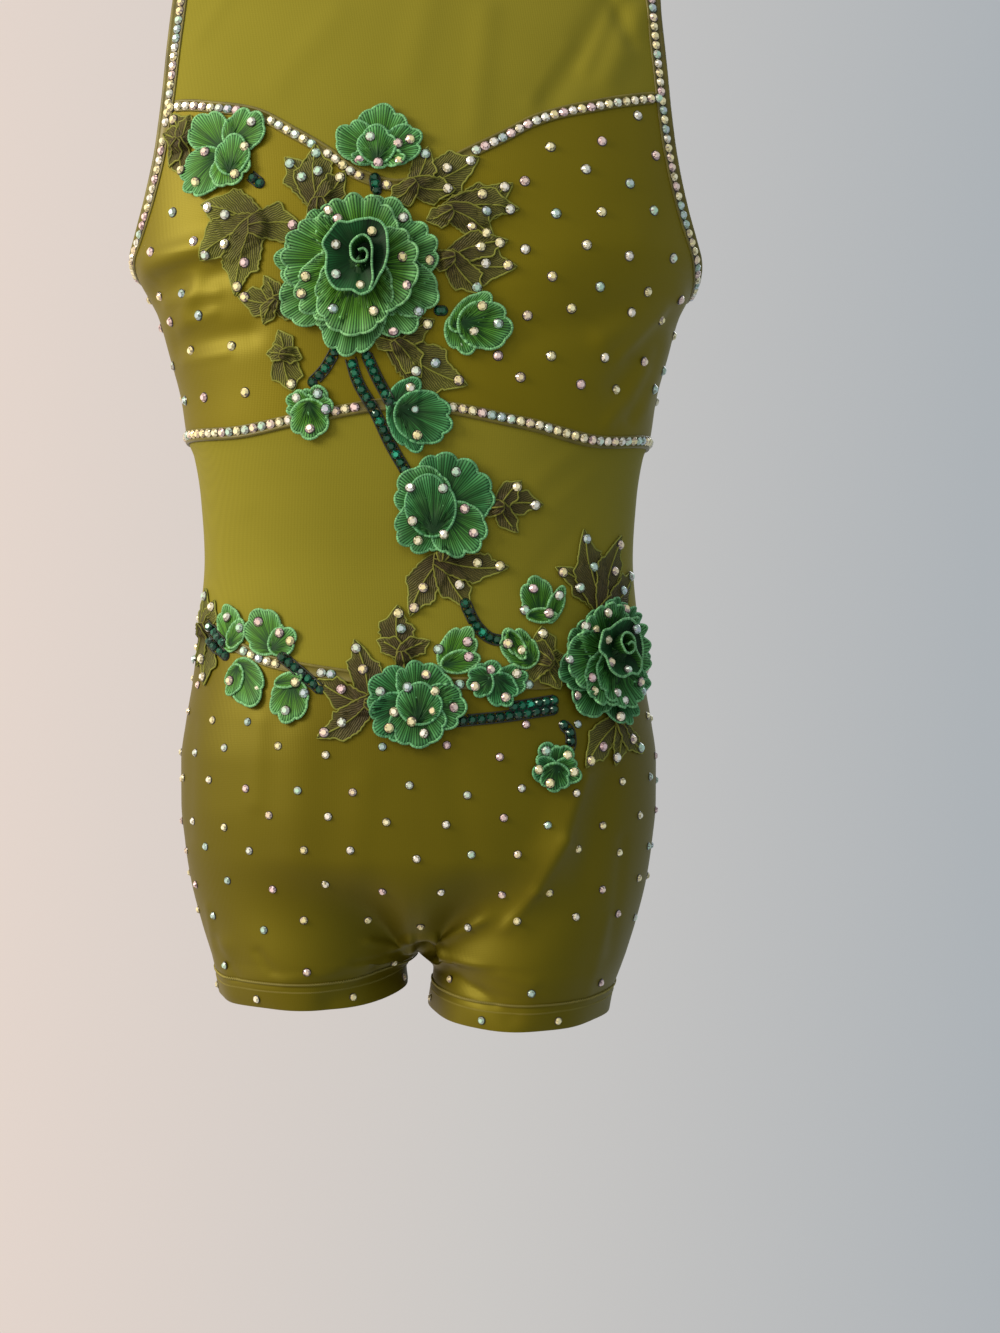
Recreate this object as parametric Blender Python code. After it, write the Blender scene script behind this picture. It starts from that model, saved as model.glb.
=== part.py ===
"""A child's dance biketard, filled out as worn and held up at the shoulders, hollow all through.

The frame: +Z up, the front faces -Y, and the wearer's left is +X, on the viewer's right.
The origin lies midway between the two shoulders, level with the faces that rest on them.
Tables and lengths are in millimetres. MM turns them into Blender's metres.
"""

import math

import bpy
import numpy as np
from mathutils import Vector
from mathutils.bvhtree import BVHTree

MM = 0.001

# The cloth and its seams.
CLOTH = 1.2
HEM_CLOTH = 2.2
HEM_DEPTH = 12.7
SEAM_GAP = 0.3
LIE_GAP = 0.4
BAND_THICK = 0.8
BAND_WIDTH = 6.6
BINDING_WIDTH = 9.0

# The shoulders and the neck.
STRAP_MIDDLE = 86.0
SHOULDER_SLOPE = 0.43
SHOULDER_ROUND = 62.0
SHOULDER_EDGE = 118.6
SHOULDER_HALF_WIDTH = 149.0
NECK_HALF_WIDTH = 58.0
NECK_SQUARE = 1.8
FRONT_NECK_Z = -35.0
BACK_NECK_Z = -95.0

# The underarm point hangs a little lower on the wearer's left.
UNDERARM_Z = -203.5
UNDERARM_TILT = -4.5

# The crotch, and where the body starts to part into two legs.
CROTCH_Z = -563.0
FORK_Z = -508.0
FORK_WIDTH = 0.15

# How square the front and the back of a level section are; 2 is an ellipse.
FRONT_SQUARE = 2.4
BACK_SQUARE = 2.25

# The filled-out body. Above the underarm the half width runs on into the arms.
BODY_COLUMNS = ("z", "half_width", "front", "back")
BODY = np.array(
    (
        (-563.0, 110.0, 70.0, 71.0),
        (-547.0, 115.0, 73.0, 77.0),
        (-525.0, 120.5, 76.0, 83.0),
        (-504.0, 123.7, 78.0, 86.0),
        (-483.0, 125.7, 79.0, 86.0),
        (-461.0, 125.8, 79.0, 83.0),
        (-440.0, 123.2, 78.0, 77.0),
        (-419.0, 119.7, 76.0, 70.0),
        (-386.0, 116.0, 72.0, 63.0),
        (-355.0, 113.6, 69.0, 60.0),
        (-323.0, 115.5, 70.0, 61.0),
        (-301.0, 119.0, 72.0, 64.0),
        (-292.0, 122.5, 73.0, 65.0),
        (-270.0, 126.0, 75.0, 68.0),
        (-248.0, 132.0, 76.5, 71.0),
        (-227.0, 138.0, 77.5, 73.0),
        (-218.0, 142.5, 78.0, 74.0),
        (-208.0, 148.0, 78.0, 73.5),
        (-197.0, 152.0, 78.0, 73.0),
        (-170.0, 151.0, 77.0, 71.0),
        (-140.0, 149.5, 73.0, 70.0),
        (-100.0, 149.0, 64.0, 66.0),
        (-60.0, 149.0, 53.0, 58.0),
        (-30.0, 149.0, 46.0, 50.0),
        (20.0, 149.0, 40.0, 44.0),
    )
)

# Each leg below the crotch: how far out its outer and inner sides stand.
LEG_COLUMNS = ("drop", "left_outer", "left_inner", "right_outer", "right_inner", "front", "back")
LEGS = np.array(
    (
        (0.0, 110.0, 0.0, 110.0, 0.0, 66.0, 70.0),
        (8.0, 108.0, 7.0, 107.0, 7.5, 65.0, 68.5),
        (16.0, 106.5, 5.5, 104.0, 6.5, 64.0, 67.0),
        (24.0, 105.0, 2.5, 102.0, 5.5, 63.0, 65.5),
        (34.0, 103.0, 1.0, 100.5, 4.3, 62.0, 64.0),
    )
)

# The hem's height round each leg, at its outer side, its middle and its inner side.
HEM_COLUMNS = ("outer", "middle", "inner")
HEM = {-1: (-583.0, -585.5, -578.0), 1: (-591.5, -596.5, -589.5)}

# How far out the armhole's edge stands at each height above the underarm, as a share of the half width.
ARMHOLE_COLUMNS = ("rise", "front", "back")
ARMHOLE = np.array(
    (
        (0.0, 1.0, 1.0),
        (1.0, 0.9977, 0.9975),
        (4.0, 0.989, 0.988),
        (10.0, 0.969, 0.967),
        (20.0, 0.947, 0.943),
        (32.0, 0.925, 0.919),
        (52.0, 0.9, 0.889),
        (83.0, 0.877, 0.859),
        (104.0, 0.866, 0.846),
        (133.0, 0.847, 0.829),
        (164.0, 0.826, 0.815),
        (190.0, 0.796, 0.796),
    )
)

# The seams across the body, from the wearer's right to the left: how far from the middle, and how high.
SEAM_COLUMNS = ("x", "z")
SWEETHEART = (
    (-150, -124),
    (-122, -124.5),
    (-101, -127.8),
    (-82, -132),
    (-60, -144),
    (-41, -156),
    (-28.6, -165.5),
    (-8, -171.5),
    (8, -166),
    (22.5, -157.5),
    (44.5, -146.2),
    (59.6, -137.6),
    (73, -132.5),
    (89, -128.4),
    (107, -123.7),
    (130, -119),
    (150, -118),
)
UNDERBUST = ((-123, -291), (-95, -292.5), (-57, -287), (-6, -280), (57, -289.5), (95, -297), (123, -293.5))
WAIST = (
    (-125, -385.5),
    (-115.5, -385.5),
    (-90, -401.6),
    (-72, -409.2),
    (-38.8, -415.3),
    (1.4, -419.8),
    (63, -420),
    (90, -411),
    (105, -401),
    (115.5, -393),
    (125, -393),
)
BACK_YOKE = ((-150, -120), (-100, -126), (-50, -134), (0, -138), (50, -134), (100, -126), (150, -120))
BACK_UNDERBUST = ((-123, -291), (0, -288), (123, -293.5))
BACK_WAIST = ((-125, -385.5), (-115.5, -385.5), (-60, -381), (0, -380), (60, -384), (115.5, -393), (125, -393))

# The largest folds: a ridge is positive and a trough negative.
FOLD_COLUMNS = ("x0", "z0", "x1", "z1", "half_width", "height")
FRONT_FOLDS = (
    (-138, -205, -104, -199, 7, 2.6),
    (-136, -217, -98, -212, 7, -2.4),
    (-124, -246, -84, -243, 7, -2.2),
    (-118, -232, -112, -216, 5, 1.6),
    (136, -220, 96, -246, 7, 2.2),
    (134, -230, 104, -268, 7, -2.2),
    (131, -240, 116, -276, 7, 2.0),
    (68, -124, 99, -76, 8, -1.8),
    (98, -112, 116, -74, 7, 1.6),
    (-100, -176, -116, -140, 9, 1.5),
    (83, -464, 72, -502, 9, 2.6),
    (72, -502, 51, -540, 9, 2.4),
    (96, -470, 84, -520, 8, -1.8),
    (16, -549, 37, -538, 5, 2.0),
    (14, -566, 48, -588, 6, -1.6),
    (-12, -566, -42, -580, 6, -1.8),
    (-99, -556, -96, -580, 6, 1.6),
    (-56, -448, -60, -505, 12, 1.2),
)
BACK_FOLDS = (
    (-140, -216, -96, -210, 6, -2.2),
    (140, -220, 96, -236, 7, -2.2),
    (-70, -356, -20, -362, 8, -1.6),
    (70, -360, 24, -370, 8, -1.6),
    (-14, -548, -52, -532, 8, 2.0),
    (14, -548, 54, -534, 8, 2.0),
    (-60, -500, -66, -548, 10, 1.6),
    (62, -498, 68, -550, 10, 1.6),
)

# Columns of points from the middle of a panel to its edge, and rows of each panel.
NECK_COLUMNS = 6
STRAP_COLUMNS = 5
BODY_ROWS = 11
LEG_ROWS = 3
MIDRIFF_ROWS = 5
SIDE_ROWS = 6
CHEST_SHARES = (0.0, 0.035, 0.1, 0.2, 0.36, 0.62, 1.0)
YOKE_ROWS = 8

# How far each of a rose's tiers sits above its outer one, and how sharply it cups.
TIER_RISE = {"middle": 1.3, "inner": 2.6, "bud": 3.9}
TIER_CURL = {"outer": 2.0, "middle": 1.8, "inner": 1.3, "bud": 1.0}

# Appliqued leaves, each fanned out from its own base: lobes by direction, length and half angle in degrees.
LEAF_THICK = 0.9
LEAF_BASE = 5.0
LEAF_FULL = 0.5
LEAF_SPREAD = 1.3
LEAF_COLUMNS = ("name", "x", "z", "lobes")
LEAVES = (
    ("leaf_armhole", -116, -146, ((104, 16, 34), (72, 15, 30), (-86, 16, 34))),
    ("leaf_rose_west", -79, -191, ((157, 31, 34), (-155, 33, 30), (-110, 34, 26), (0, 22, 60))),
    ("leaf_rose_north", -47, -180, ((127, 28, 30), (94, 28, 30), (50, 19, 30), (-86, 14, 60))),
    ("leaf_rose_southwest", -69, -229, ((168, 20, 30), (114, 14, 28), (-28, 15, 45), (-125, 12, 30))),
    ("leaf_rose_drop", -65, -255, ((-76, 18, 40), (103, 12, 60), (174, 9, 40), (-13, 9, 40))),
    ("leaf_rose_south", -8, -251, ((-30, 38, 28), (34, 21, 28), (162, 13, 60), (-55, 19, 28))),
    ("leaf_rose_northeast", 0, -172, ((24, 34, 28), (70, 20, 28), (-6, 20, 30), (-146, 14, 60))),
    ("leaf_rose_east", 18, -185, ((25, 33, 26), (3, 33, 22), (-30, 24, 28), (-160, 12, 60))),
    ("leaf_rose_southeast", 19, -208, ((-7, 31, 26), (18, 28, 22), (-49, 22, 30), (-175, 12, 60))),
    ("leaf_midriff", 43, -331, ((3, 21, 25), (50, 16, 28), (-56, 15, 28), (180, 10, 50))),
    ("leaf_sprig", 14, -358, ((-120, 31, 24), (-60, 28, 22), (-6, 32, 20), (90, 7, 50))),
    ("leaf_waist_west", -23, -430, ((102, 31, 22), (155, 27, 22), (-146, 29, 22), (-7, 8, 60))),
    ("leaf_waist_middle", -6, -406, ((95, 24, 32), (148, 14, 30), (27, 15, 30), (-84, 10, 60))),
    ("leaf_waist_east", 66, -409, ((97, 17, 40), (10, 12, 40), (-63, 15, 40), (-152, 15, 40), (142, 14, 40))),
    ("leaf_hip_above", 95, -382, ((143, 33, 20), (106, 40, 20), (68, 39, 20), (34, 34, 20), (-84, 10, 60))),
    ("leaf_hip_below", 103, -440, ((-135, 30, 22), (-97, 21, 20), (-40, 24, 20), (97, 8, 60))),
    ("leaf_side", -109, -393, ((96, 21, 34), (60, 17, 30), (-86, 27, 30), (-118, 20, 30))),
)

# Appliqued flowers and petals. The rim of each stands off the cloth by its cup, and edge says
# how deep its lobes are cut.
FLOWER_THICK = 1.0
LOBE_POINTS = 3
FLOWER_POINTS = 14
FLOWER_COLUMNS = ("name", "x", "z", "wide", "high", "turn", "lobes", "edge", "cup")
FLOWERS = (
    ("flower_armhole", -95, -153, 46, 40, 20, 5, 0.13, 2.0),
    ("flower_neck", -17, -148, 44, 34, 10, 5, 0.1, 2.2),
    ("bud_rose", 33, -239, 33, 30, 25, 4, 0.12, 1.6),
    ("flower_underbust_west", -52, -283, 24, 27, 0, 5, 0.14, 1.4),
    ("flower_underbust_east", 3, -287, 31, 35, -20, 4, 0.14, 1.6),
    ("flower_midriff", 13, -331, 48, 53, 10, 6, 0.1, 2.4),
    ("petal_side_upper", -94, -392, 19, 24, 0, 3, 0.08, 1.2),
    ("petal_side_upper_wide", -75, -394, 26, 25, 0, 4, 0.12, 1.4),
    ("petal_side_lower", -85, -421, 23, 26, 0, 3, 0.08, 1.3),
    ("petal_side_lower_small", -63, -428, 20, 24, 0, 3, 0.08, 1.3),
    ("flower_waist", 1, -430, 50, 44, 0, 6, 0.11, 2.4),
    ("bud_waist", 24, -403, 24, 25, 0, 3, 0.08, 1.3),
    ("flower_waist_east", 42, -421, 29, 25, 0, 5, 0.1, 1.6),
    ("bud_hip", 64, -379, 19, 25, 0, 3, 0.08, 1.3),
    ("petal_hip", 53, -402, 19, 22, 0, 3, 0.08, 1.2),
    ("flower_hip_small", 70, -462, 24, 22, 0, 5, 0.12, 1.3),
    ("rose_outer", -27, -214, 83, 86, 0, 10, 0.08, 4.0),
    ("rose_middle", -26, -212, 64, 65, 20, 7, 0.1, 8.0),
    ("rose_inner", -27, -209, 34, 39, 0, 5, 0.1, 13.0),
    ("rose_bud", -26, -210, 13, 18, 0, 3, 0.12, 9.0),
    ("hip_rose_outer", 99, -408, 68, 69, 0, 9, 0.09, 4.0),
    ("hip_rose_middle", 99, -408, 52, 54, 20, 7, 0.1, 8.0),
    ("hip_rose_inner", 99, -408, 29, 32, 0, 5, 0.1, 12.0),
    ("hip_rose_bud", 99, -408, 12, 15, 0, 3, 0.12, 8.0),
)


def read(table, columns, name, at):
    """A column of a table at the given first-column values, along a smooth curve through the rows."""
    order = np.argsort(table[:, 0])
    return smooth(table[order, 0], table[order, columns.index(name)], at)


def smooth(xs, ys, at):
    """A curve through the points with no overshoot between them."""
    xs, ys = np.asarray(xs, float), np.asarray(ys, float)
    at = np.clip(at, xs[0], xs[-1])
    step = np.diff(xs)
    slope = np.diff(ys) / step
    tangent = np.zeros(len(xs))
    tangent[0], tangent[-1] = slope[0], slope[-1]
    same = slope[:-1] * slope[1:] > 0
    tangent[1:-1][same] = 2 * (slope[:-1] * slope[1:])[same] / (slope[:-1] + slope[1:])[same]
    i = np.clip(np.searchsorted(xs, at, side="right") - 1, 0, len(xs) - 2)
    t = (at - xs[i]) / step[i]
    rise = ys[i] * (1 + 2 * t) * (1 - t) ** 2 + ys[i + 1] * t * t * (3 - 2 * t)
    return rise + step[i] * (tangent[i] * t * (1 - t) ** 2 - tangent[i + 1] * t * t * (1 - t))


def seam_height(seam, x):
    """A seam's height where it passes x."""
    return smooth(*zip(*seam), x)


def ridge_height(x):
    """The height of the shoulder line."""
    return (STRAP_MIDDLE - np.abs(x)) * SHOULDER_SLOPE


def fold_height(folds, x, z):
    """How far the folds lift the cloth at a place seen from the front."""
    lift = np.zeros(np.broadcast(x, z).shape)
    for x0, z0, x1, z1, half_width, height in folds:
        along_x, along_z = x1 - x0, z1 - z0
        length = along_x**2 + along_z**2
        t = np.clip(((x - x0) * along_x + (z - z0) * along_z) / length, 0, 1)
        away = np.hypot(x - x0 - t * along_x, z - z0 - t * along_z)
        lift = lift + height * np.exp(-((away / half_width) ** 2))
    return lift


def bare_skin(theta, z):
    """The cloth's outer face without folds. theta is 0 at the front's middle and a quarter turn at +X."""
    half_width = read(BODY, BODY_COLUMNS, "half_width", z)
    is_front = np.cos(theta) >= 0
    depth = np.where(is_front, read(BODY, BODY_COLUMNS, "front", z), read(BODY, BODY_COLUMNS, "back", z))
    square = np.where(is_front, FRONT_SQUARE, BACK_SQUARE)
    x = half_width * np.sin(theta)
    flat = np.maximum(1 - np.abs(np.sin(theta)) ** square, 0) ** (1 / square)
    below = np.clip((ridge_height(x) - z) / SHOULDER_ROUND, 0, 1)
    y = depth * flat * np.sqrt(1 - (1 - below) ** 2)
    # Towards the crotch the one oval turns into the two of the legs.
    turn = np.abs(np.arcsin(np.clip(np.sin(theta), -1, 1))) / (math.pi / 2)
    leg_depth = np.where(is_front, LEGS[0, LEG_COLUMNS.index("front")], LEGS[0, LEG_COLUMNS.index("back")])
    leg_x = np.sign(np.sin(theta)) * half_width / 2 * (1 - np.cos(math.pi * turn))
    leg_y = leg_depth * np.sin(math.pi * turn)
    fork = np.clip((FORK_Z - z) / (FORK_Z - CROTCH_Z), 0, 1)
    middle = np.exp(-((turn / FORK_WIDTH) ** 2))
    share = (1 - middle) * fork**2 * (3 - 2 * fork) + middle * (1 - np.sqrt(1 - fork**2))
    x, y = (1 - share) * x + share * leg_x, (1 - share) * y + share * leg_y
    return np.stack([x, np.where(is_front, -y, y), z + 0 * x], axis=-1)


def bare_leg(side, psi, z):
    """A leg's outer face below the crotch. psi is 0 at its inner side, and positive round the front."""
    word = "left" if side < 0 else "right"
    drop = CROTCH_Z - z
    outer = read(LEGS, LEG_COLUMNS, word + "_outer", drop)
    inner = read(LEGS, LEG_COLUMNS, word + "_inner", drop)
    depth = np.where(
        np.sin(psi) >= 0, read(LEGS, LEG_COLUMNS, "front", drop), read(LEGS, LEG_COLUMNS, "back", drop)
    )
    x = side * ((outer + inner) / 2 - (outer - inner) / 2 * np.cos(psi))
    return np.stack([x, -depth * np.sin(psi), z + 0 * x], axis=-1)


def unit(v):
    return v / np.maximum(np.linalg.norm(v, axis=-1, keepdims=True), 1e-12)


def folded(points, outward):
    """Points moved out along their normals by the folds of the front or the back."""
    x, y, z = points[..., 0], points[..., 1], points[..., 2]
    lift = np.where(y < 0, fold_height(FRONT_FOLDS, x, z), fold_height(BACK_FOLDS, x, z))
    fade = smooth((6.0, 30.0), (0.0, 1.0), np.abs(y))
    return points + (lift * fade)[..., None] * outward


def skin(theta, z, out=0.0):
    """Points on the cloth of the body, moved out from its outer face."""
    theta, z = np.broadcast_arrays(np.asarray(theta, float), np.asarray(z, float))
    turn, rise = 1e-4, 0.02
    across = bare_skin(theta + turn, z) - bare_skin(theta - turn, z)
    up = bare_skin(theta, z + rise) - bare_skin(theta, np.maximum(z - rise, CROTCH_Z))
    outward = unit(np.cross(across, up))
    points = folded(bare_skin(theta, z), outward)
    return points + np.asarray(out, float)[..., None] * outward


def leg(side, psi, z, out=0.0):
    """Points on the cloth of a leg, moved out from its outer face."""
    psi, z = np.broadcast_arrays(np.asarray(psi, float), np.asarray(z, float))
    turn, rise = 1e-4, 0.02
    across = bare_leg(side, psi + turn, z) - bare_leg(side, psi - turn, z)
    up = bare_leg(side, psi, z + rise) - bare_leg(side, psi, z - rise)
    outward = unit(np.cross(across, up)) * side
    points = folded(bare_leg(side, psi, z), outward)
    return points + np.asarray(out, float)[..., None] * outward


def edge_turn(side, z, word):
    """How far round the body a panel's edge is: the side seam, or the armhole's edge above the underarm."""
    rise = z - UNDERARM_Z - UNDERARM_TILT * np.sign(side)
    return np.arcsin(np.clip(read(ARMHOLE, ARMHOLE_COLUMNS, word, rise), 0, 1))


def around(s, z, word):
    """theta of the place a share s of the way from a panel's middle to its edge, s positive towards +X."""
    turn = s * edge_turn(s, z, word)
    return turn if word == "front" else math.pi - turn


def columns():
    """The shares s of a panel's columns of points, from -1 to 1, closer together beside the neck."""
    neck_s = math.asin(NECK_HALF_WIDTH / SHOULDER_HALF_WIDTH) / math.asin(SHOULDER_EDGE / SHOULDER_HALF_WIDTH)
    k = np.arange(1, NECK_COLUMNS + 1) / NECK_COLUMNS
    neck = neck_s * (0.25 * k + 0.75 * np.sin(k * math.pi / 2))
    strap = neck_s + (1 - neck_s) * np.arange(1, STRAP_COLUMNS + 1) / STRAP_COLUMNS
    half = np.concatenate([neck, strap])
    return np.concatenate([-half[::-1], [0.0], half]), neck_s


def seam_row(seam, s, word):
    """A seam's height at each column, found by going to and fro between height and place."""
    z = np.full(len(s), seam[0][1], float)
    for _ in range(6):
        z = seam_height(seam, bare_skin(around(s, z, word), z)[:, 0])
    return z


def top_row(s, neck_s, word):
    """The yoke's top edge: the neckline in the middle and the shoulder line at each side."""
    bottom = FRONT_NECK_Z if word == "front" else BACK_NECK_Z
    z = np.zeros(len(s))
    for _ in range(12):
        x = bare_skin(around(s, z, word), z)[:, 0]
        side = ridge_height(NECK_HALF_WIDTH)
        neck = side - (side - bottom) * np.clip(1 - np.abs(s / neck_s) ** NECK_SQUARE, 0, 1) ** (1 / NECK_SQUARE)
        z = 0.5 * z + 0.5 * np.where(np.abs(s) < neck_s - 1e-6, neck, ridge_height(x))
    return z


def rows_between(low, high, shares):
    return low + (high - low) * np.asarray(shares)[:, None]


def pull_in(grid, gap=SEAM_GAP / 2):
    """The points with each edge moved in by half a seam's gap, so that neighbours never touch."""
    grid = grid.copy()
    for edge, inner in ((grid[0], grid[1]), (grid[-1], grid[-2])):
        edge += gap * unit(inner - edge)
    for edge, inner in ((grid[:, 0], grid[:, 1]), (grid[:, -1], grid[:, -2])):
        edge += gap * unit(inner - edge)
    return grid


def grid_faces(rows, cols):
    return [
        (r * cols + c, r * cols + c + 1, (r + 1) * cols + c + 1, (r + 1) * cols + c)
        for r in range(rows - 1)
        for c in range(cols - 1)
    ]


def thick_sheet(name, outer, inner, faces, material):
    """One closed body between two sheets of points that share their faces, with walls along the open edges."""
    count = len(outer)
    open_edges = {}
    for face in faces:
        for a, b in zip(face, face[1:] + face[:1]):
            if not open_edges.pop((b, a), False):
                open_edges[(a, b)] = True
    solid = list(faces) + [tuple(i + count for i in reversed(f)) for f in faces]
    solid += [(b, a, a + count, b + count) for a, b in open_edges]
    mesh = bpy.data.meshes.new(name)
    mesh.from_pydata((np.concatenate([outer, inner]) * MM).tolist(), [], solid)
    mesh.materials.append(material)
    mesh.shade_smooth()
    mesh.set_sharp_from_angle(angle=math.radians(40))
    part = bpy.data.objects.new(name, mesh)
    bpy.context.scene.collection.objects.link(part)
    return part


def panel(name, s, heights, word, material, turned=None):
    """A wall of cloth on the body, from rows of heights at each column, doubled where its top edge is turned in."""
    if word == "back":
        s, heights = s[::-1], heights[:, ::-1]
    theta = around(s[None, :], heights, word)
    thick = np.full(heights.shape, CLOTH)
    if turned is not None:
        thick[-1, turned] = HEM_CLOTH
    outer = pull_in(skin(theta, heights))
    inner = pull_in(skin(theta, heights, -thick))
    faces = grid_faces(*heights.shape)
    return thick_sheet(name, outer.reshape(-1, 3), inner.reshape(-1, 3), faces, material)


def hip_rows(top):
    """Rows of heights from the crotch up to the waist, closer together near the crotch."""
    down = np.linspace(0, 1, BODY_ROWS + 1)
    down = 0.5 * down + 0.5 * np.sin(down * math.pi / 2)
    return top[None, :] + (CROTCH_Z - top)[None, :] * down[::-1, None]


def shorts(name, s, top, word, material, body_rows, leg_rows):
    """Half of the shorts: a sheet over the hips that parts at the crotch into the two legs."""
    if word == "back":
        s, top = s[::-1], top[::-1]
    heights = hip_rows(top)
    theta = around(s[None, :], heights, word)
    middle = len(s) // 2
    layers = []
    for out in (0.0, -1.0):
        body = pull_in(skin(theta, heights, out * CLOTH))
        # The row at the crotch is joined to the legs, so only its ends at the seams are pulled in.
        body[0] = skin(theta[0], heights[0], out * CLOTH)
        body[0][:, 1] += (SEAM_GAP / 2) * (-1 if word == "front" else 1) * (np.abs(body[0][:, 1]) < 1.0)
        points = [body.reshape(-1, 3)]
        for half in (slice(0, middle + 1), slice(middle, None)):
            side = np.sign(s[half].sum())
            psi = math.pi * np.abs(s[half]) * (1 if word == "front" else -1)
            hem = hem_height(side, psi)
            share = np.arange(1, leg_rows + 1)[:, None] / leg_rows
            z = CROTCH_Z + (hem - CROTCH_Z) * share
            thick = np.where(z < hem + HEM_DEPTH, HEM_CLOTH, CLOTH)
            rows = leg(side, psi[None, :], z, out * thick)
            for edge, inner in ((rows[:, 0], rows[:, 1]), (rows[:, -1], rows[:, -2])):
                edge += SEAM_GAP / 2 * unit(inner - edge)
            points.append(rows.reshape(-1, 3))
        layers.append(np.concatenate(points))
    faces = grid_faces(body_rows + 1, len(s))
    start = (body_rows + 1) * len(s)
    for first in (0, middle):
        cols = middle + 1
        above = [first + c for c in range(cols)]
        for r in range(leg_rows):
            row = [start + r * cols + c for c in range(cols)]
            faces += [(row[c], row[c + 1], above[c + 1], above[c]) for c in range(cols - 1)]
            above = row
        start += leg_rows * cols
    return thick_sheet(name, *layers, faces, material)


def hem_height(side, psi):
    """The hem's height round a leg."""
    outer, middle, inner = HEM[int(side)]
    turn = np.abs(psi) / math.pi
    return smooth((0.0, 0.5, 1.0), (inner, middle, outer), turn)


# Shares of a face's three corners at which its clearance is measured.
SAMPLES = np.array([(a, b, 6 - a - b) for a in range(7) for b in range(7 - a)]) / 6


class Cloth:
    """All the body's outer points as one grid, its columns running from the back's middle right round to it."""

    def __init__(self, s, front, back):
        middle = len(s) // 2
        theta = {"front": around(s[None, :], front, "front"), "back": around(s[None, :], back, "back")}
        # At the side seams the front's column and the back's stand apart, to leave the armholes open.
        nudge = 1e-6 * (np.abs(s) == 1.0)
        pieces = (
            (back[:, middle::-1], theta["back"][:, middle::-1] - 2 * math.pi, (-2 - s - nudge)[middle::-1]),
            (front, theta["front"], s),
            (back[:, :middle - 1:-1], theta["back"][:, :middle - 1:-1], (2 - s + nudge)[:middle - 1:-1]),
        )
        self.heights, turns, self.ways = (np.concatenate(group, axis=-1) for group in zip(*pieces))
        self.points = skin(turns, self.heights)
        self.outward = skin(turns, self.heights, 1.0) - self.points
        self.trees = []

    def at(self, way, z, out):
        """Points over the cloth: way is 0 in the front's middle, 1 at the side seam and 2 in the back's middle."""
        way, z = np.broadcast_arrays(np.asarray(way, float), np.asarray(z, float))
        shape = way.shape
        way, z = way.ravel(), z.ravel()
        i = np.clip(np.searchsorted(self.ways, way, side="right") - 1, 0, len(self.ways) - 2)
        f = (way - self.ways[i]) / (self.ways[i + 1] - self.ways[i])
        heights = (1 - f) * self.heights[:, i] + f * self.heights[:, i + 1]
        j = np.clip((heights <= z).sum(axis=0) - 1, 0, len(heights) - 2)
        pick = np.arange(len(z))
        g = np.clip((z - heights[j, pick]) / (heights[j + 1, pick] - heights[j, pick]), 0, 1)
        f, g = f[:, None], g[:, None]
        both = []
        for grid in (self.points, self.outward):
            low = (1 - f) * grid[j, i] + f * grid[j, i + 1]
            high = (1 - f) * grid[j + 1, i] + f * grid[j + 1, i + 1]
            both.append((1 - g) * low + g * high)
        out = np.broadcast_to(np.asarray(out, float), shape).reshape(-1, 1)
        return (both[0] + out * unit(both[1])).reshape(*shape, 3)


def girth(z, count=181):
    """theta, and the distance round the cloth from the front's middle to it, at each height."""
    theta = np.linspace(0, math.pi, count)
    points = bare_skin(theta[None, :], np.asarray(z, float)[:, None])
    steps = np.linalg.norm(np.diff(points, axis=1), axis=-1)
    return theta, np.concatenate([np.zeros((len(steps), 1)), np.cumsum(steps, axis=1)], axis=1)


def way_of(distance, z):
    """The way of a place from its distance round the cloth from the front's middle."""
    distance, z = np.broadcast_arrays(np.asarray(distance, float), np.asarray(z, float))
    flat, heights = distance.ravel(), z.ravel()
    theta, lengths = girth(heights)
    turn = np.array([np.interp(abs(d), row, theta) for d, row in zip(flat, lengths)]) * np.sign(flat)
    return (turn / edge_turn(flat, heights, "front")).reshape(distance.shape)


def distance_of(x, z):
    """The distance round the cloth from the front's middle to where the front passes x."""
    x, z = np.atleast_1d(np.asarray(x, float)), np.atleast_1d(np.asarray(z, float))
    theta, lengths = girth(z)
    turn = np.arcsin(np.clip(np.abs(x) / read(BODY, BODY_COLUMNS, "half_width", z), 0, 1))
    return np.sign(x) * np.array([np.interp(t, theta, row) for t, row in zip(turn, lengths)])


def strip(name, cloth, centre_q, centre_z, material):
    """A narrow band over a seam, from the seam's distances round the cloth and its heights."""
    along = unit(np.gradient(np.stack([centre_q, centre_z], axis=-1), axis=0))
    rows_q, rows_z = [], []
    for side in (-0.5, 0.0, 0.5):
        rows_q.append(centre_q - side * BAND_WIDTH * along[:, 1])
        rows_z.append(centre_z + side * BAND_WIDTH * along[:, 0])
    way = way_of(np.array(rows_q), np.array(rows_z))
    # The ends are cut along the body's upright lines, to meet the next band square.
    way[:, 0], way[:, -1] = way[1, 0], way[1, -1]
    return laid_strip(name, cloth, way, np.array(rows_z), material)


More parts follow.
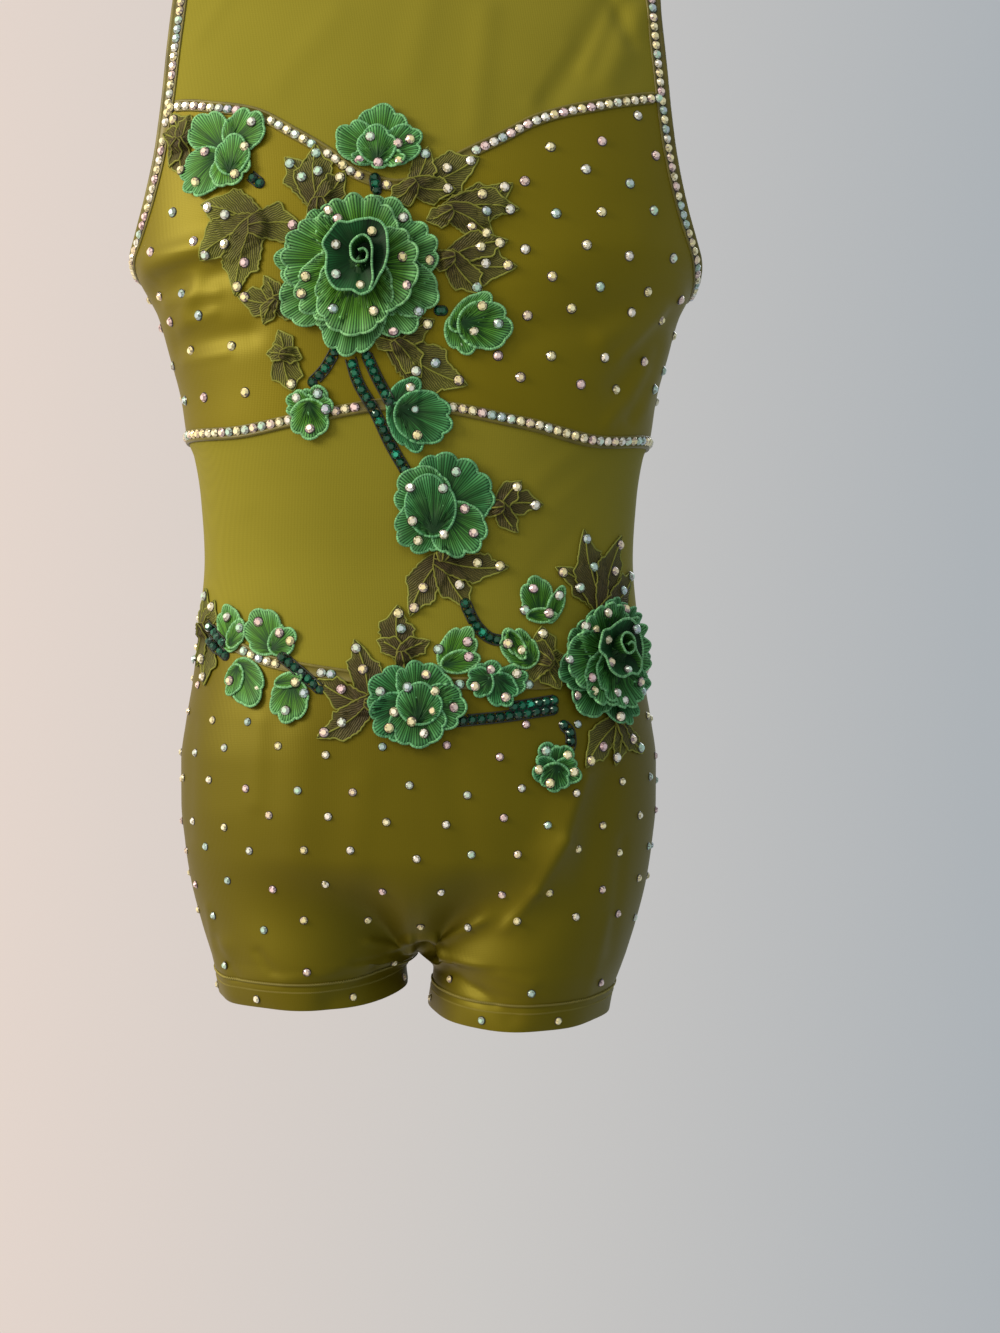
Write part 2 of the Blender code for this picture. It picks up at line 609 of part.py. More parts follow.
def laid(name, low, high, faces, material, trees, gap=SEAM_GAP):
    """A thin piece over others, each of its points moved out until it clears all that lies under it."""
    outward = unit(high - low)
    # Each face is cut into triangles, so that what is measured is what is built.
    faces = [(face[0], face[k], face[k + 1]) for face in faces for k in range(1, len(face) - 1)]
    corners = np.array(faces)
    raised = np.zeros(len(low))
    for _ in range(8):
        points = low + raised[:, None] * outward
        samples = np.einsum("wc,fcx->fwx", SAMPLES, points[corners])
        short = np.zeros(len(low))
        for face, group in zip(corners, samples):
            for sample in group:
                for tree in trees:
                    near, normal, _, distance = tree.find_nearest(Vector(sample), 5.0)
                    if near is None:
                        continue
                    away = (sample[0] - near[0]) * normal[0]
                    away += (sample[1] - near[1]) * normal[1]
                    away += (sample[2] - near[2]) * normal[2]
                    if away < gap and abs(away) > 0.6 * distance:
                        short[face] = np.maximum(short[face], gap - away)
        if short.max() < 0.01:
            break
        raised += short
    lift = raised[:, None] * outward
    return thick_sheet(name, high + lift, low + lift, faces, material)


def outer_tree(part):
    """A search tree of a piece's outer sheet, in millimetres."""
    mesh = part.data
    mesh.calc_loop_triangles()
    count = len(mesh.vertices) // 2
    points = [vertex.co / MM for vertex in mesh.vertices]
    triangles = [tuple(t.vertices) for t in mesh.loop_triangles if max(t.vertices) < count]
    return BVHTree.FromPolygons(points, triangles)


def laid_strip(name, cloth, way, z, material):
    """A thin sheet over the cloth, from rows of places."""
    outer = cloth.at(way, z, LIE_GAP + BAND_THICK)
    inner = cloth.at(way, z, LIE_GAP)
    faces = grid_faces(*way.shape)
    return laid(name, inner.reshape(-1, 3), outer.reshape(-1, 3), faces, material, cloth.trees)


def seam_strip(name, cloth, seam_z, s, word, material, short=0.0):
    """A band along one of a panel's seams, stopping short of the panel's edges."""
    theta, lengths = girth(seam_z)
    if word == "front":
        turn = np.abs(around(s, seam_z, "front"))
        q = np.sign(s) * np.array([np.interp(t, theta, row) for t, row in zip(turn, lengths)])
    else:
        turn = math.pi - np.abs(s) * math.pi / 2
        q = np.array([np.interp(t, theta, row) for t, row in zip(turn, lengths)])
        half = np.array([row[-1] for row in lengths])
        # Round the back the distances run on past the middle of the back.
        q = np.where(s >= 0, q, 2 * half - q)
    ends = (q.min() + short, q.max() - short)
    keep = (q > ends[0] + 2) & (q < ends[1] - 2)
    order = np.argsort(q)
    q_all, z_all = q[order], seam_z[order]
    inner = np.sort(q[keep])
    q_run = np.concatenate([[ends[0]], inner, [ends[1]]])
    z_run = np.interp(q_run, q_all, z_all)
    if word == "front":
        return strip(name, cloth, q_run, z_run, material)
    return back_strip(name, cloth, q_run, z_run, material)


def back_strip(name, cloth, centre_q, centre_z, material):
    """A band across the back, whose distances run on past the middle of the back."""
    rows_z = np.array([centre_z + side * BAND_WIDTH for side in (-0.5, 0.0, 0.5)])
    theta, lengths = girth(centre_z)
    half = lengths[:, -1]
    back = np.where(centre_q > half, 2 * half - centre_q, centre_q)
    turn = np.array([np.interp(d, row, theta) for d, row in zip(back, lengths)])
    way = turn / (math.pi / 2)
    way = np.where(centre_q > half, 4 - way, way)
    way = np.broadcast_to(way, rows_z.shape)
    # Past the back's middle the grid starts again at its other end.
    return laid_strip(name, cloth, np.where(way > 2, way - 4, way), rows_z, material)


# A height above everything: a place there is on the top edge.
TOP = 999.0


def armhole_binding(name, cloth, side, edge_rows, material):
    """A flat ring of folded cloth over the armhole's edge, from one shoulder seam round to it again."""
    start = UNDERARM_Z + UNDERARM_TILT * side
    q, height = {}, {}
    for word in ("front", "back"):
        z = edge_rows[word][:, -1 if side > 0 else 0]
        theta, lengths = girth(z)
        turn = edge_turn(np.full(len(z), side), z, word)
        turn = turn if word == "front" else math.pi - turn
        q[word] = np.array([np.interp(t, theta, row) for t, row in zip(turn, lengths)])
        height[word] = z
    q = np.concatenate([q["front"][::-1], q["back"][1:]])
    height = np.concatenate([height["front"][::-1], height["back"][1:]])
    along = np.gradient(np.stack([q, height], axis=-1), axis=0)
    along[0], along[-1] = (0.0, -1.0), (0.0, 1.0)
    along = unit(along)
    front = np.arange(len(q)) < len(edge_rows["front"])
    layers = {"inner": [], "outer": []}
    for wide in (0.0, BINDING_WIDTH / 2, BINDING_WIDTH):
        q_row = q + wide * along[:, 1]
        z_row = height - wide * along[:, 0]
        z_row[0], z_row[-1] = height[0], height[-1]
        theta, lengths = girth(z_row)
        turn = np.array([np.interp(d, row, theta) for d, row in zip(q_row, lengths)])
        sides = np.full(len(turn), side)
        way_front = turn / edge_turn(sides, z_row, "front")
        way_back = 2 - (math.pi - turn) / edge_turn(sides, z_row, "back")
        way = np.where(front, np.minimum(way_front, 1.0), np.maximum(way_back, 1.000002))
        way = np.where(z_row < start - 0.01, turn / (math.pi / 2), way)
        z_row[0] = z_row[-1] = TOP
        layers["inner"].append(cloth.at(side * way, z_row, LIE_GAP))
        layers["outer"].append(cloth.at(side * way, z_row, LIE_GAP + BAND_THICK))
    inner, outer = np.array(layers["inner"]), np.array(layers["outer"])
    # The two ends stand apart at the shoulder seam as the panels under them do.
    for layer in (inner, outer):
        layer[:, 0, 1] -= SEAM_GAP / 2
        layer[:, -1, 1] += SEAM_GAP / 2
    faces = grid_faces(*inner.shape[:2])
    if side > 0:
        faces = [face[::-1] for face in faces]
    return laid(name, inner.reshape(-1, 3), outer.reshape(-1, 3), faces, material, cloth.trees)


def leaf_outline(lobes):
    """The directions and lengths of a leaf's edge."""
    angles = []
    for direction, length, half_angle in lobes:
        angles += [direction + half_angle * LEAF_SPREAD * f for f in (-0.95, -0.5, 0, 0.5, 0.95)]
    angles = np.sort(np.array(angles) % 360)
    keep = [angles[0]]
    tips = {direction % 360 for direction, length, half_angle in lobes}
    for a in angles[1:]:
        if a - keep[-1] > 7:
            keep.append(a)
        elif a in tips and keep[-1] not in tips:
            keep[-1] = a
    gaps = np.diff(keep + [keep[0] + 360])
    extra = [k + g * (n + 1) / (int(g // 50) + 1) for k, g in zip(keep, gaps) for n in range(int(g // 50))]
    angles = np.sort(np.array(keep + extra) % 360)
    return np.radians(angles), leaf_radius(lobes, angles)


def leaf_radius(lobes, angles):
    radius = np.full(np.shape(angles), LEAF_BASE)
    for direction, length, half_angle in lobes:
        away = np.abs((angles - direction + 180) % 360 - 180) / (half_angle * LEAF_SPREAD)
        radius = np.maximum(radius, length * np.clip(1 - away, 0, 1) ** LEAF_FULL)
    return radius


def flower_outline(wide, high, turn, lobes, edge):
    """The directions and lengths of a flower's scalloped edge."""
    count = max(lobes * LOBE_POINTS, FLOWER_POINTS)
    angles = np.arange(count) * 2 * math.pi / count
    scallop = 1 - edge * (1 - np.abs(np.cos(lobes * (angles - math.radians(turn)) / 2)) ** 0.7)
    radius = scallop / np.hypot(np.cos(angles) / (wide / 2), np.sin(angles) / (high / 2))
    return angles, radius


class Appliques:
    """Pieces laid over the cloth one on another, each lifted clear of those it covers."""

    def __init__(self, cloth, band_trees):
        self.cloth = cloth
        self.band_trees = band_trees
        self.placed = []

    def lay(self, name, x, z, angles, radius, cup, thick, material, seat=0.0, curl=2.0):
        q = float(distance_of(x, z)[0])
        rings = max(2, math.ceil(radius.max() / 12.0))
        shares = np.arange(1, rings + 1) / rings
        u = np.concatenate([[0.0], (shares[:, None] * (radius * np.cos(angles))[None, :]).ravel()])
        v = np.concatenate([[0.0], (shares[:, None] * (radius * np.sin(angles))[None, :]).ravel()])
        share = np.concatenate([[0.0], np.repeat(shares, len(angles))])
        lift = LIE_GAP + seat
        rise = cup * share**curl
        way = way_of(q + u, z + v)
        low = self.cloth.at(way, z + v, lift + rise)
        high = self.cloth.at(way, z + v, lift + rise + thick)
        count = len(angles)
        faces = [(0, 1 + k, 1 + (k + 1) % count) for k in range(count)]
        for ring in range(rings - 1):
            a = 1 + ring * count
            b = a + count
            faces += [(a + k, b + k, b + (k + 1) % count, a + (k + 1) % count) for k in range(count)]
        under = self.cloth.trees + self.band_trees
        under = under + [other["tree"] for other in self.placed if self.over(other, q, z, u, v)]
        part = laid(name, low, high, faces, material, under)
        self.placed.append({"q": q, "z": z, "angles": angles, "radius": radius, "tree": outer_tree(part)})

    @staticmethod
    def over(other, q, z, u, v):
        """Whether a piece's points come within a placed piece's outline, or its outline within theirs."""
        du, dv = q + u - other["q"], z + v - other["z"]
        wrap = np.concatenate([other["angles"] - 2 * math.pi, other["angles"], other["angles"] + 2 * math.pi])
        edge = np.interp(np.arctan2(dv, du), wrap, np.tile(other["radius"], 3))
        return bool((np.hypot(du, dv) < edge + 1.0).any())


def plain_material(name, colour, roughness, metallic=0.0):
    material = bpy.data.materials.new(name)
    material.use_nodes = True
    shader = material.node_tree.nodes["Principled BSDF"]
    shader.inputs["Base Color"].default_value = (*colour, 1.0)
    shader.inputs["Roughness"].default_value = roughness
    shader.inputs["Metallic"].default_value = metallic
    return material


def main():
    for old in list(bpy.data.objects):
        bpy.data.objects.remove(old)
    satin = plain_material("satin", (0.16, 0.13, 0.01), 0.35)
    matte = plain_material("matte_mesh", (0.22, 0.19, 0.02), 0.7)
    leaf_thread = plain_material("leaf_thread", (0.06, 0.06, 0.01), 0.7)
    petal_thread = plain_material("petal_thread", (0.05, 0.3, 0.1), 0.6)
    s, neck_s = columns()
    underarm = UNDERARM_Z + UNDERARM_TILT * s
    ring, seams, edges = {}, {}, {}
    panels, strips = [], []
    for word in ("front", "back"):
        front = word == "front"
        waist = seam_row(WAIST if front else BACK_WAIST, s, word)
        underbust = seam_row(UNDERBUST if front else BACK_UNDERBUST, s, word)
        yoke = seam_row(SWEETHEART if front else BACK_YOKE, s, word)
        top = top_row(s, neck_s, word)
        panels.append(shorts("shorts_" + word, s, waist, word, satin, BODY_ROWS, LEG_ROWS))
        midriff = rows_between(waist, underbust, np.linspace(0, 1, MIDRIFF_ROWS + 1))
        side = rows_between(underbust, underarm, np.linspace(0, 1, SIDE_ROWS + 1))
        chest = rows_between(underarm, yoke, CHEST_SHARES)
        bust = np.concatenate([side, chest[1:]])
        upper = rows_between(yoke, top, 1 - (1 - np.linspace(0, 1, YOKE_ROWS + 1)) ** 2.1)
        panels.append(panel("midriff_" + word, s, midriff, word, matte))
        panels.append(panel("bust_" + word, s, bust, word, satin))
        panels.append(panel("yoke_" + word, s, upper, word, matte, np.abs(s) < neck_s - 1e-6))
        hips = hip_rows(waist)
        ring[word] = np.concatenate([hips[:-1], midriff[:-1], bust[:-1], upper])
        edges[word] = np.concatenate([chest[:-1], upper])
        seams[word] = {"waist": waist, "underbust": underbust, "yoke": yoke}
    cloth = Cloth(s, ring["front"], ring["back"])
    cloth.trees = [outer_tree(part) for part in panels]
    for name, word in (("underbust", "front"), ("waist", "front"), ("underbust", "back"), ("waist", "back")):
        strips.append(seam_strip(name + "_band_" + word, cloth, seams[word][name], s, word, satin, SEAM_GAP / 2))
    short = BINDING_WIDTH + 3 * SEAM_GAP
    strips.append(seam_strip("sweetheart_band", cloth, seams["front"]["yoke"], s, "front", satin, short))
    strips.append(armhole_binding("armhole_binding_left", cloth, 1, edges, satin))
    strips.append(armhole_binding("armhole_binding_right", cloth, -1, edges, satin))
    appliques = Appliques(cloth, [outer_tree(part) for part in strips])
    for name, x, z, lobes in LEAVES:
        appliques.lay(name, x, z, *leaf_outline(lobes), 0.0, LEAF_THICK, leaf_thread)
    for name, x, z, wide, high, turn, lobes, edge, cup in FLOWERS:
        tier = name.rsplit("_", 1)[1]
        seat = TIER_RISE.get(tier, 0.0) if "rose" in name else 0.0
        outline = flower_outline(wide, high, turn, lobes, edge)
        appliques.lay(name, x, z, *outline, cup, FLOWER_THICK, petal_thread, seat, TIER_CURL.get(tier, 2.0))


main()
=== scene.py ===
"""The looks of a child's dance biketard, worn and held up at the shoulders, hollow all through.

Lengths and tables are in millimetres and turned into metres by MM. The front faces -Y and +X is
the viewer's right. Places on the cloth are given by q, the distance round the body from the middle
of the front (positive towards +X), by the height z, and by h, how far they stand off the cloth.
"""

import math

import bpy
import numpy as np
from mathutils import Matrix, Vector

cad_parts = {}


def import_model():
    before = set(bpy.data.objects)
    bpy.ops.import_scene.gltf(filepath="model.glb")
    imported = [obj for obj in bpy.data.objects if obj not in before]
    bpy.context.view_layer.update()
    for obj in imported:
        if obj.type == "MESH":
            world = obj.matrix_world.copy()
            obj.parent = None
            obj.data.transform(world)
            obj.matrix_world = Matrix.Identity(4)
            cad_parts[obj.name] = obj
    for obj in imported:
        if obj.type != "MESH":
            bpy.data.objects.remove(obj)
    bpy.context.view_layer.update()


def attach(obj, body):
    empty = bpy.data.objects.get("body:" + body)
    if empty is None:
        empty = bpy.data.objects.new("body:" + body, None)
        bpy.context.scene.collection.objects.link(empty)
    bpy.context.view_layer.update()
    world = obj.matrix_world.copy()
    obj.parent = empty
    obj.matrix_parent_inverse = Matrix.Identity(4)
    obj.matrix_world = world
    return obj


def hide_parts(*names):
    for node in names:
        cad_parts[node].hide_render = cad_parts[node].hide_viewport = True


MM = 0.001
RNG = np.random.default_rng(11)

# The cloth: a little thinner than the solids' walls, with its panels closer together.
CLOTH = 1.0
HEM_CLOTH = 2.0
SEAM_GAP = 0.1

# The body, as the solids have it.
HEM_DEPTH = 12.7
STRAP_MIDDLE = 86.0
SHOULDER_SLOPE = 0.43
SHOULDER_ROUND = 62.0
SHOULDER_EDGE = 118.6
SHOULDER_HALF_WIDTH = 149.0
NECK_HALF_WIDTH = 58.0
NECK_SQUARE = 1.8
FRONT_NECK_Z = -35.0
BACK_NECK_Z = -95.0
UNDERARM_Z = -203.5
UNDERARM_TILT = -4.5
CROTCH_Z = -563.0
FORK_Z = -508.0
FORK_WIDTH = 0.15
FRONT_SQUARE = 2.4
BACK_SQUARE = 2.25

# How high the laid-out cloth goes, above the shoulders.
TOP_Z = 20.0

# The body by height: half its width, and how far it goes forwards and back.
BODY_COLUMNS = ("z", "half_width", "front", "back")
BODY = np.array(
    (
        (-563.0, 110.0, 70.0, 71.0),
        (-547.0, 115.0, 73.0, 77.0),
        (-525.0, 120.5, 76.0, 83.0),
        (-504.0, 123.7, 78.0, 86.0),
        (-483.0, 125.7, 79.0, 86.0),
        (-461.0, 125.8, 79.0, 83.0),
        (-440.0, 123.2, 78.0, 77.0),
        (-419.0, 119.7, 76.0, 70.0),
        (-386.0, 116.0, 72.0, 63.0),
        (-355.0, 113.6, 69.0, 60.0),
        (-323.0, 115.5, 70.0, 61.0),
        (-301.0, 119.0, 72.0, 64.0),
        (-292.0, 122.5, 73.0, 65.0),
        (-270.0, 126.0, 75.0, 68.0),
        (-248.0, 132.0, 76.5, 71.0),
        (-227.0, 138.0, 77.5, 73.0),
        (-218.0, 142.5, 78.0, 74.0),
        (-208.0, 148.0, 78.0, 73.5),
        (-197.0, 152.0, 78.0, 73.0),
        (-170.0, 151.0, 77.0, 71.0),
        (-140.0, 149.5, 73.0, 70.0),
        (-100.0, 149.0, 64.0, 66.0),
        (-60.0, 149.0, 53.0, 58.0),
        (-30.0, 149.0, 46.0, 50.0),
        (20.0, 149.0, 40.0, 44.0),
    )
)
# The legs by how far below the crotch; left is the viewer's left.
LEG_COLUMNS = ("drop", "left_outer", "left_inner", "right_outer", "right_inner", "front", "back")
LEGS = np.array(
    (
        (0.0, 110.0, 0.0, 110.0, 0.0, 66.0, 70.0),
        (8.0, 108.0, 7.0, 107.0, 7.5, 65.0, 68.5),
        (16.0, 106.5, 5.5, 104.0, 6.5, 64.0, 67.0),
        (24.0, 105.0, 2.5, 102.0, 5.5, 63.0, 65.5),
        (34.0, 103.0, 1.0, 100.5, 4.3, 62.0, 64.0),
    )
)
# Each hem's height at the outer side, the middle and the inner side of its leg.
HEM = {-1: (-583.0, -585.5, -578.0), 1: (-591.5, -596.5, -589.5)}
# An armhole's edge by how far above the underarm, as shares of half the body's width.
ARMHOLE_COLUMNS = ("rise", "front", "back")
ARMHOLE = np.array(
    (
        (0.0, 1.0, 1.0),
        (1.0, 0.9977, 0.9975),
        (4.0, 0.989, 0.988),
        (10.0, 0.969, 0.967),
        (20.0, 0.947, 0.943),
        (32.0, 0.925, 0.919),
        (52.0, 0.9, 0.889),
        (83.0, 0.877, 0.859),
        (104.0, 0.866, 0.846),
        (133.0, 0.847, 0.829),
        (164.0, 0.826, 0.815),
        (190.0, 0.796, 0.796),
    )
)

# The seams, from the wearer's right to the left: how far from the middle, and how high.
SWEETHEART = (
    (-150, -124),
    (-122, -124.5),
    (-101, -127.8),
    (-82, -132),
    (-60, -144),
    (-41, -156),
    (-28.6, -165.5),
    (-8, -171.5),
    (8, -166),
    (22.5, -157.5),
    (44.5, -146.2),
    (59.6, -137.6),
    (73, -132.5),
    (89, -128.4),
    (107, -123.7),
    (130, -119),
    (150, -118),
)
UNDERBUST = ((-123, -291), (-95, -292.5), (-57, -287), (-6, -280), (57, -289.5), (95, -297), (123, -293.5))
WAIST = (
    (-125, -385.5),
    (-115.5, -385.5),
    (-90, -401.6),
    (-72, -409.2),
    (-38.8, -415.3),
    (1.4, -419.8),
    (63, -420),
    (90, -411),
    (105, -401),
    (115.5, -393),
    (125, -393),
)
BACK_YOKE = ((-150, -120), (-100, -126), (-50, -134), (0, -138), (50, -134), (100, -126), (150, -120))
BACK_UNDERBUST = ((-123, -291), (0, -288), (123, -293.5))
BACK_WAIST = (
    (-125, -385.5), (-115.5, -385.5), (-60, -381), (0, -380), (60, -384), (115.5, -393), (125, -393),
)

# Folds: x and z of both ends, half width, and height, which is negative for a trough.
FRONT_FOLDS = (
    (-138, -205, -104, -199, 7, 2.6),
    (-136, -217, -98, -212, 7, -2.4),
    (-124, -246, -84, -243, 7, -2.2),
    (-118, -232, -112, -216, 5, 1.6),
    (136, -220, 96, -246, 7, 2.2),
    (134, -230, 104, -268, 7, -2.2),
    (131, -240, 116, -276, 7, 2.0),
    (68, -124, 99, -76, 8, -1.8),
    (98, -112, 116, -74, 7, 1.6),
    (-100, -176, -116, -140, 9, 1.5),
    (83, -464, 72, -502, 9, 2.6),
    (72, -502, 51, -540, 9, 2.4),
    (96, -470, 84, -520, 8, -1.8),
    (16, -549, 37, -538, 5, 2.0),
    (14, -566, 48, -588, 6, -1.6),
    (-12, -566, -42, -580, 6, -1.8),
    (-99, -556, -96, -580, 6, 1.6),
    (-56, -448, -60, -505, 12, 1.2),
)
BACK_FOLDS = (
    (-140, -216, -96, -210, 6, -2.2),
    (140, -220, 96, -236, 7, -2.2),
    (-70, -356, -20, -362, 8, -1.6),
    (70, -360, 24, -370, 8, -1.6),
    (-14, -548, -52, -532, 8, 2.0),
    (14, -548, 54, -534, 8, 2.0),
    (-60, -500, -66, -548, 10, 1.6),
    (62, -498, 68, -550, 10, 1.6),
)
# Lesser creases, which only the looks have.
FRONT_CREASES = (
    (110, -92, 90, -36, 4.0, -1.5),
    (86, -108, 106, -62, 3.6, 1.2),
    (124, -66, 104, -20, 5.0, 1.0),
    (58, -128, 78, -96, 4.0, 0.5),
    (-112, -90, -92, -60, 5.0, 0.5),
    (30, -140, 36, -80, 7.0, 0.9),
    (-2, -112, 12, -50, 9.0, 0.9),
    (-134, -211, -108, -206, 2.4, -1.0),
    (-130, -224, -100, -222, 2.8, 0.9),
    (-122, -238, -102, -232, 2.4, 0.8),
    (-120, -254, -96, -252, 2.6, 0.7),
    (128, -228, 104, -254, 2.8, 1.2),
    (126, -248, 110, -284, 3.0, -1.3),
    (118, -258, 98, -288, 3.4, 1.1),
    (-106, -300, -88, -330, 6.0, 0.5),
    (62, -318, 88, -296, 5.0, 0.5),
    (56, -370, 84, -338, 5.0, -0.4),
    (70, -330, 92, -312, 4.0, 0.35),
    (-78, -440, -80, -480, 5.0, 0.5),
    (-26, -470, -30, -520, 8.0, 0.5),
    (20, -462, 30, -520, 8.0, -0.5),
    (85, -468, 75, -498, 3.4, 1.3),
    (75, -498, 61, -524, 3.4, 1.6),
    (61, -524, 46, -544, 3.0, 1.2),
    (52, -245, 126, -229, 9.0, -1.6),
    (56, -214, 110, -196, 14.0, 1.0),
    (-70, -118, -40, -80, 8.0, 0.6),
    (-12, -557, -3, -551, 2.0, 1.6),
    (-3, -551, 9, -550, 2.0, 1.8),
    (9, -550, 13, -562, 2.2, 2.0),
    (4, -557, 7, -560, 3.0, -6.5),
    (-13, -563, -3, -558, 2.2, 2.4),
    (-20, -566, -8, -562, 2.2, -1.6),
    (15, -552, 34, -541, 2.4, 1.4),
    (12, -566, 40, -566, 2.6, -0.9),
    (10, -564, 40, -582, 2.4, -0.9),
    (12, -560, 60, -572, 3.0, 0.8),
    (30, -575, 74, -586, 3.0, -0.7),
    (-8, -556, -24, -552, 2.2, 1.2),
    (-8, -560, -30, -562, 2.0, -1.1),
    (-10, -564, -36, -572, 2.4, 0.9),
    (-40, -566, -66, -570, 2.6, 0.7),
    (-80, -556, -72, -566, 2.0, -0.8),
    (-104, -552, -92, -570, 2.2, -0.8),
    (-108, -536, -104, -566, 2.4, 0.8),
    (98, -540, 88, -580, 3.0, 0.6),
    (106, -500, 100, -560, 3.0, -0.7),
    (-116, -440, -119, -500, 4.0, -0.6),
)
BACK_CREASES = (
    (-132, -228, -104, -224, 2.8, 0.9),
    (-124, -250, -100, -244, 2.6, -0.7),
    (130, -232, 104, -250, 2.6, 0.9),
    (124, -256, 106, -276, 2.6, -0.8),
    (-60, -340, -24, -346, 3.5, 0.6),
    (-72, -372, -36, -374, 3.2, 0.5),
    (62, -344, 28, -352, 3.5, 0.6),
    (74, -376, 40, -380, 3.2, -0.5),
    (-8, -552, -34, -546, 2.4, -1.0),
    (-8, -560, -40, -570, 2.6, 0.9),
    (8, -552, 36, -546, 2.4, -1.0),
    (8, -560, 44, -576, 2.6, 0.9),
    (-34, -520, -58, -516, 4.0, 0.6),
    (36, -522, 60, -518, 4.0, 0.6),
    (-30, -150, -38, -100, 8.0, 0.5),
    (34, -152, 44, -104, 8.0, 0.5),
    (0, -470, 0, -536, 5.0, -1.2),
)

# Leaves fan out from their own base: x, z, how brown, and lobes by direction, length and half angle.
LEAF_FULLNESS = 0.62
LOBE_GROWTH = 1.05
LOBE_WIDEST = 40
LEAVES = (
    (
        "leaf_armhole", -118, -146, 0.8,
        ((112, 18, 34), (150, 14, 36), (72, 15, 30), (-86, 17, 34), (-130, 13, 36)),
    ),
    ("leaf_rose_west", -79, -191, 0.1, ((157, 31, 34), (-155, 33, 30), (-110, 34, 26), (0, 22, 60))),
    ("leaf_rose_north", -47, -180, 0.5, ((127, 28, 30), (94, 28, 30), (50, 19, 30), (-86, 14, 60))),
    ("leaf_rose_southwest", -69, -229, 0.25, ((168, 20, 30), (114, 14, 28), (-28, 15, 45), (-125, 12, 30))),
    ("leaf_rose_drop", -65, -255, 0.2, ((-76, 18, 40), (103, 12, 60), (174, 9, 40), (-13, 9, 40))),
    ("leaf_rose_south", -8, -251, 0.35, ((-30, 38, 28), (34, 21, 28), (162, 13, 60), (-55, 19, 28))),
    ("leaf_rose_northeast", 0, -172, 0.45, ((24, 34, 28), (70, 20, 28), (-6, 20, 30), (-146, 14, 60))),
    ("leaf_rose_east", 18, -185, 0.5, ((25, 33, 26), (3, 33, 22), (-30, 24, 28), (-160, 12, 60))),
    ("leaf_rose_southeast", 19, -208, 0.6, ((-7, 31, 26), (18, 28, 22), (-49, 22, 30), (-175, 12, 60))),
    ("leaf_midriff", 43, -331, 0.85, ((3, 21, 25), (50, 16, 28), (-56, 15, 28), (180, 10, 50))),
    ("leaf_sprig", 14, -358, 0.75, ((-120, 31, 24), (-60, 28, 22), (-6, 32, 20), (90, 7, 50))),
    ("leaf_waist_west", -23, -430, 0.9, ((102, 31, 22), (155, 27, 22), (-146, 29, 22), (-7, 8, 60))),
    ("leaf_waist_middle", -6, -406, 0.9, ((95, 24, 32), (148, 14, 30), (27, 15, 30), (-84, 10, 60))),
    (
        "leaf_waist_east", 66, -409, 0.3,
        ((97, 17, 40), (10, 12, 40), (-63, 15, 40), (-152, 15, 40), (142, 14, 40)),
    ),
    (
        "leaf_hip_above", 95, -382, 0.8,
        ((143, 33, 20), (106, 40, 20), (68, 39, 20), (34, 34, 20), (-84, 10, 60)),
    ),
    ("leaf_hip_below", 103, -440, 0.4, ((-135, 30, 22), (-97, 21, 20), (-40, 24, 20), (97, 8, 60))),
    ("leaf_side", -109, -393, 0.3, ((96, 21, 34), (60, 17, 30), (-86, 27, 30), (-118, 20, 30))),
)

